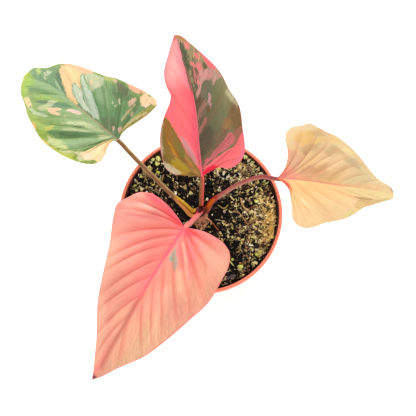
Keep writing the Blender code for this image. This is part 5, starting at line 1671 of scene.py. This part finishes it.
def bits_material(name, stops, roughness=0.8, warmth=0.65):
    """Bits whose colour runs through the stops from bit to bit, and turns to ochre by the right wall."""
    paint = Paint(name, roughness=roughness, specular=0.3)
    grain = paint.noise(paint.place(), scale=1.8, detail=4.0, roughness=0.65)
    colour = paint.ramp(paint.attribute("tone"), stops)
    warm = paint.math("MULTIPLY", paint.attribute("warm"), warmth)
    colour = paint.mix(warm, colour, rgb(244, 200, 106))
    colour = paint.shade(colour, paint.step(grain, 0.25, 0.75, 0.45, 1.45))
    return paint.finish(colour, roughness, grain, 0.3)


def make_soil_bits():
    """Crumbs of peat, chips, fibres and a few pale lumps on the soil."""
    peat = bits_material("peat_crumbs", PEAT_TONES, 0.95, 0.12)
    chips = bits_material("chips", CHIP_TONES)
    fibres = bits_material("fibres", FIBRE_TONES)
    pale = bits_material("pale_lumps", PALE_TONES)
    lump, crumb = crumb_shape(2), crumb_shape(1)
    scatter("peat_lumps", 11, 420, lump, sizes=(2.2, 5.0), girth=((0.6, 1.0), (0.4, 0.8)), flat=1.0,
            bend=0.0, share_of=even_share, material=peat, lift=0.0, jitter=0.16)
    scatter("peat_crumbs", 12, 3600, crumb, sizes=(0.7, 2.6), girth=((0.6, 1.0), (0.5, 0.9)), flat=1.5,
            bend=0.0, share_of=even_share, material=peat, lift=0.1, jitter=0.16)
    scatter("peat_fibres", 13, 700, strip_shape(6, 3), sizes=(2.0, 9.0), girth=((0.05, 0.1), (0.05, 0.1)),
            flat=0.25, bend=0.12, share_of=dark_share, material=peat, lift=0.6, jitter=0.02)
    scatter("light_chips", 21, 2700, strip_shape(4, 4), sizes=(0.8, 3.8), girth=((0.25, 0.7), (0.15, 0.4)),
            flat=0.45, bend=0.1, share_of=light_share, material=chips, lift=0.7, jitter=0.1)
    scatter("light_crumbs", 22, 2000, crumb, sizes=(0.5, 1.8), girth=((0.6, 1.0), (0.5, 0.9)), flat=1.5,
            bend=0.0, share_of=light_share, material=chips, lift=0.6, jitter=0.14)
    scatter("light_fibres", 23, 900, strip_shape(7, 3), sizes=(2.0, 9.0), girth=((0.04, 0.09), (0.04, 0.09)),
            flat=0.2, bend=0.12, share_of=light_share, material=fibres, lift=0.9, jitter=0.02)
    scatter("pale_lumps", 24, 34, lump, sizes=(1.8, 4.4), girth=((0.6, 0.9), (0.4, 0.8)), flat=0.7,
            bend=0.0, share_of=light_share, material=pale, lift=0.9, jitter=0.14)


def on_soil(across, down):
    """(x, y) of the soil that the photograph shows at a pixel."""
    right = np.array([across - 0.5 * PICTURE_WIDTH, 0.0, 0.0])
    ray = right - PICTURE_UP * (down - 0.5 * PICTURE_WIDTH) - TOWARDS_CAMERA * FOCAL_PIXELS
    eye = CAMERA_AIM + TOWARDS_CAMERA * CAMERA_DISTANCE
    return (eye + ray * (SEEN_SOIL_HEIGHT - eye[2]) / ray[2])[:2]


def stick_points(route, radius):
    """Rings of points round a bent stick that lies on the soil and narrows to its ends."""
    curve = along(spline([on_soil(*pixel) for pixel in route], 10), np.linspace(0.0, 1.0, STICK_RINGS))
    last = STICK_RINGS - 1
    upright = np.array([0.0, 0.0, 0.8])
    points = []
    for i, (x, y) in enumerate(curve):
        ahead = unit(curve[min(i + 1, last)] - curve[max(i - 1, 0)])
        across = np.array([-ahead[1], ahead[0], 0.0])
        girth = radius * (0.45 + 0.55 * math.sin(math.pi * (0.06 + 0.88 * i / last)) ** 0.5)
        middle = np.array([x, y, soil_top(x, y) + 1.5 + 0.4 * math.sin(math.pi * i / last)])
        for k in range(STICK_SIDES):
            angle = math.tau * k / STICK_SIDES
            points.append(middle + girth * (across * math.cos(angle) + upright * math.sin(angle)))
    return np.array(points)


def make_chunks():
    """The larger bits that can be told apart on the soil: lumps, chips, a piece of bark and sticks."""
    random = np.random.default_rng(31)
    shape, shape_faces = crumb_shape(3)
    points, faces, tints = [], [], []
    for across, down, length, width, turn, colour in SOIL_CHUNKS:
        x, y = on_soil(across, down)
        height = 0.6 * min(length, width)
        bumps = 1.0 + 0.45 * lumps(shape * 2.2 + 5.0 * len(faces), 1.0, 2.0)[:, None]
        yaw = np.array([math.radians(turn)])
        pitch = random.normal(0.0, 0.15, 1)
        roll = random.normal(0.0, 0.2, 1)
        bit = (shape * bumps * (length, width, height)) @ turned(yaw, pitch, roll)[0].T
        bit = bit + (x, y, soil_top(x, y) + 0.9 + 0.3 * height)
        faces.append(shape_faces + sum(len(p) for p in points))
        points.append(keep_inside(bit[None])[0])
        tints.append(np.tile(rgb(*colour)[:3], (len(bit), 1)))
    for route, radius, colour in SOIL_STICKS:
        stick = stick_points(route, radius)
        start = sum(len(p) for p in points)
        polygons = [[start + v for v in face] for face in tube_faces(STICK_RINGS, STICK_SIDES)]
        faces.append([[p[0], p[i], p[i + 1]] for p in polygons for i in range(1, len(p) - 1)])
        points.append(keep_inside(stick[None])[0])
        tints.append(np.tile(rgb(*colour)[:3], (len(stick), 1)))
    paint = Paint("soil_chunks", specular=0.3)
    grain = paint.noise(paint.place(), scale=1.6, detail=5.0, roughness=0.7)
    colour = paint.shade(paint.attribute("tint", "Vector"), paint.step(grain, 0.25, 0.7, 0.5, 1.15))
    tint = np.concatenate(tints)
    mesh = make_mesh("soil_chunks", np.concatenate(points), np.concatenate(faces), None, {"tint": tint})
    face_outwards(mesh)
    return add_piece("soil_chunks", mesh, paint.finish(colour, 0.8, grain, 0.4), None, 40.0)


def stem_points():
    """Points of the stem and its round crown, and how far the ring scars and knobs stand out there."""
    foot, crown = np.array(STEM_FOOT), np.array(CROWN_CENTRE)
    axis = unit(crown - foot)
    side = unit(np.cross(axis, (0.0, 1.0, 0.0)))
    front = np.cross(axis, side)
    top = np.linalg.norm(crown - foot)
    points, relief = [], []
    for ring in range(STEM_RINGS):
        share = ring / (STEM_RINGS - 1)
        if share < CROWN_START:
            height = -STEM_BURIED + (top + STEM_BURIED) * share / CROWN_START
            radius = STEM_RADIUS - 0.06 * max(0.0, height)
        else:
            angle = 0.5 * math.pi * (1.0 - (share - CROWN_START) / (1.0 - CROWN_START))
            height = top + CROWN_RADIUS * math.cos(angle)
            radius = max(0.02, CROWN_RADIUS * math.sin(angle))
        for step in range(STEM_STEPS):
            angle = math.tau * step / STEM_STEPS
            slanted = height + 0.5 * math.sin(angle + 0.8)
            scar = 0.4 * abs(math.sin(math.pi * slanted / 2.3)) ** 0.4 - 0.35
            place = Vector((3.0 * math.cos(angle), 3.0 * math.sin(angle), height))
            knob = 0.9 * max(0.0, noise.noise(place / 1.7)) + 0.35 * noise.noise(place / 0.8)
            fade = min(1.0, radius / 2.0)
            out = radius + fade * (scar + knob)
            points.append(foot + axis * height + out * (side * math.cos(angle) + front * math.sin(angle)))
            relief.append(scar + 0.5 * knob)
    return points, relief


def root_points():
    """Points of the dry root, and there its share of the length plus 1.5, which its paint reads."""
    curve = along(spline(ROOT_PATH, 12), np.linspace(0.0, 1.0, ROOT_RINGS))
    last = ROOT_RINGS - 1
    points, relief = [], []
    for i, centre in enumerate(curve):
        share = i / last
        ahead = unit(curve[min(i + 1, last)] - curve[max(i - 1, 0)])
        across = unit(np.cross(ahead, (0.0, 0.0, 1.0)))
        above = np.cross(across, ahead)
        radius = ROOT_RADIUS[0] + (ROOT_RADIUS[1] - ROOT_RADIUS[0]) * share ** 0.6
        for k in range(ROOT_SIDES):
            angle = math.tau * k / ROOT_SIDES
            wrinkle = 1.0 + 0.22 * noise.noise(Vector((share * 14.0, math.cos(angle), math.sin(angle))))
            out = radius * wrinkle
            points.append(centre + out * (across * math.cos(angle) + above * math.sin(angle)))
            relief.append(1.5 + share)
    return points, relief


def make_stem():
    """The knobby stem with ring scars, its crown, and the dry root that grew from it."""
    points, relief = stem_points()
    more_points, more_relief = root_points()
    faces = tube_faces(STEM_RINGS, STEM_STEPS)
    faces += [tuple(len(points) + i for i in face) for face in tube_faces(ROOT_RINGS, ROOT_SIDES)]
    values = {"relief": np.array(relief + more_relief)}
    mesh = make_mesh("stem_and_root", points + more_points, faces, values)
    face_outwards(mesh)
    return add_piece("stem_and_root", mesh, stem_material(), "stem_base", 50.0)


def stem_material():
    """Tan cork with dark scars, pinkish above and dark red on the crown, partly its own colour and partly
    painted shade between the stalks' feet. The root is pink to red-brown.
    """
    paint = Paint("stem", specular=0.25)
    place = paint.place()
    relief = paint.attribute("relief")
    cork = paint.noise(place, scale=0.8, detail=5.0, roughness=0.65)
    green = paint.noise(place, scale=0.35, detail=3.0)
    height = paint.height(place)
    colour = paint.ramp(paint.math("ADD", relief, paint.step(cork, 0.3, 0.7, -0.3, 0.3)),
                        [(0.0, (104, 64, 44)), (0.22, (206, 150, 106)), (0.55, (255, 226, 184))])
    colour = paint.mix(paint.step(green, 0.54, 0.66, 0.0, 0.6), colour, rgb(208, 190, 120))
    uneven_height = paint.math("ADD", height, paint.math("MULTIPLY", cork, 3.0))
    colour = paint.mix(paint.step(uneven_height, 95.0, 99.5, 0.0, 0.7), colour, rgb(184, 118, 92))
    # Dark red on the crown: partly its own colour, partly painted shade in the gap between the stalks' feet.
    colour = paint.mix(paint.step(height, 98.6, 100.4, 0.0, 0.95), colour, rgb(82, 20, 28))
    root = paint.ramp(paint.math("SUBTRACT", relief, 1.5), ROOT_TONES)
    colour = paint.mix(paint.step(relief, 1.35, 1.45), colour, root)
    return paint.finish(colour, 0.75, cork, 0.5)


def make_floor():
    """A pale floor that glows a little, so that it stays white under the plant."""
    mesh = bpy.data.meshes.new("floor")
    corners = [(-1.0, -1.0, 0.0), (1.0, -1.0, 0.0), (1.0, 1.0, 0.0), (-1.0, 1.0, 0.0)]
    mesh.from_pydata([FLOOR_REACH * Vector(corner) for corner in corners], [], [(0, 1, 2, 3)])
    paint = Paint("floor", roughness=0.9, specular=0.1)
    tone = paint.noise(paint.place(), scale=0.004, detail=2.0)
    paint.shader.inputs["Emission Color"].default_value = (1.0, 1.0, 1.0, 1.0)
    paint.shader.inputs["Emission Strength"].default_value = 0.3
    white = paint.ramp(tone, [(0.0, (252, 252, 252)), (1.0, (255, 255, 255))])
    mesh.materials.append(paint.finish(white))
    floor = bpy.data.objects.new("floor", mesh)
    bpy.context.scene.collection.objects.link(floor)


def make_lights():
    """A white studio with soft light from above and behind."""
    world = bpy.data.worlds.new("studio")
    world.use_nodes = True
    background = world.node_tree.nodes["Background"]
    background.inputs["Color"].default_value = (1.0, 1.0, 1.0, 1.0)
    background.inputs["Strength"].default_value = 0.85
    bpy.context.scene.world = world
    bpy.context.scene.view_settings.view_transform = "Standard"
    for name, place, size, power in LIGHTS:
        light = bpy.data.lights.new(name, "AREA")
        light.size = size
        light.energy = power
        lamp = bpy.data.objects.new(name, light)
        lamp.location = place
        lamp.rotation_mode = "QUATERNION"
        lamp.rotation_quaternion = (Vector(LIGHTS_FACE) - Vector(place)).to_track_quat("-Z", "Y")
        bpy.context.scene.collection.objects.link(lamp)


def make_camera():
    """The photograph's camera."""
    lens = bpy.data.cameras.new("camera")
    lens.sensor_width = SENSOR_WIDTH
    lens.lens = SENSOR_WIDTH * FOCAL_PIXELS / PICTURE_WIDTH
    camera = bpy.data.objects.new("camera", lens)
    camera.location = MM * (CAMERA_AIM + TOWARDS_CAMERA * CAMERA_DISTANCE)
    camera.rotation_mode = "QUATERNION"
    camera.rotation_quaternion = Vector(-TOWARDS_CAMERA).to_track_quat("-Z", "Y")
    bpy.context.scene.collection.objects.link(camera)
    bpy.context.scene.camera = camera


make_floor()
make_lights()
make_camera()
make_pot()
make_soil()
make_soil_bits()
make_chunks()
make_stem()
for leaf in ("left", "back", "right", "front"):
    make_stalk(leaf)
    make_leaf(leaf)
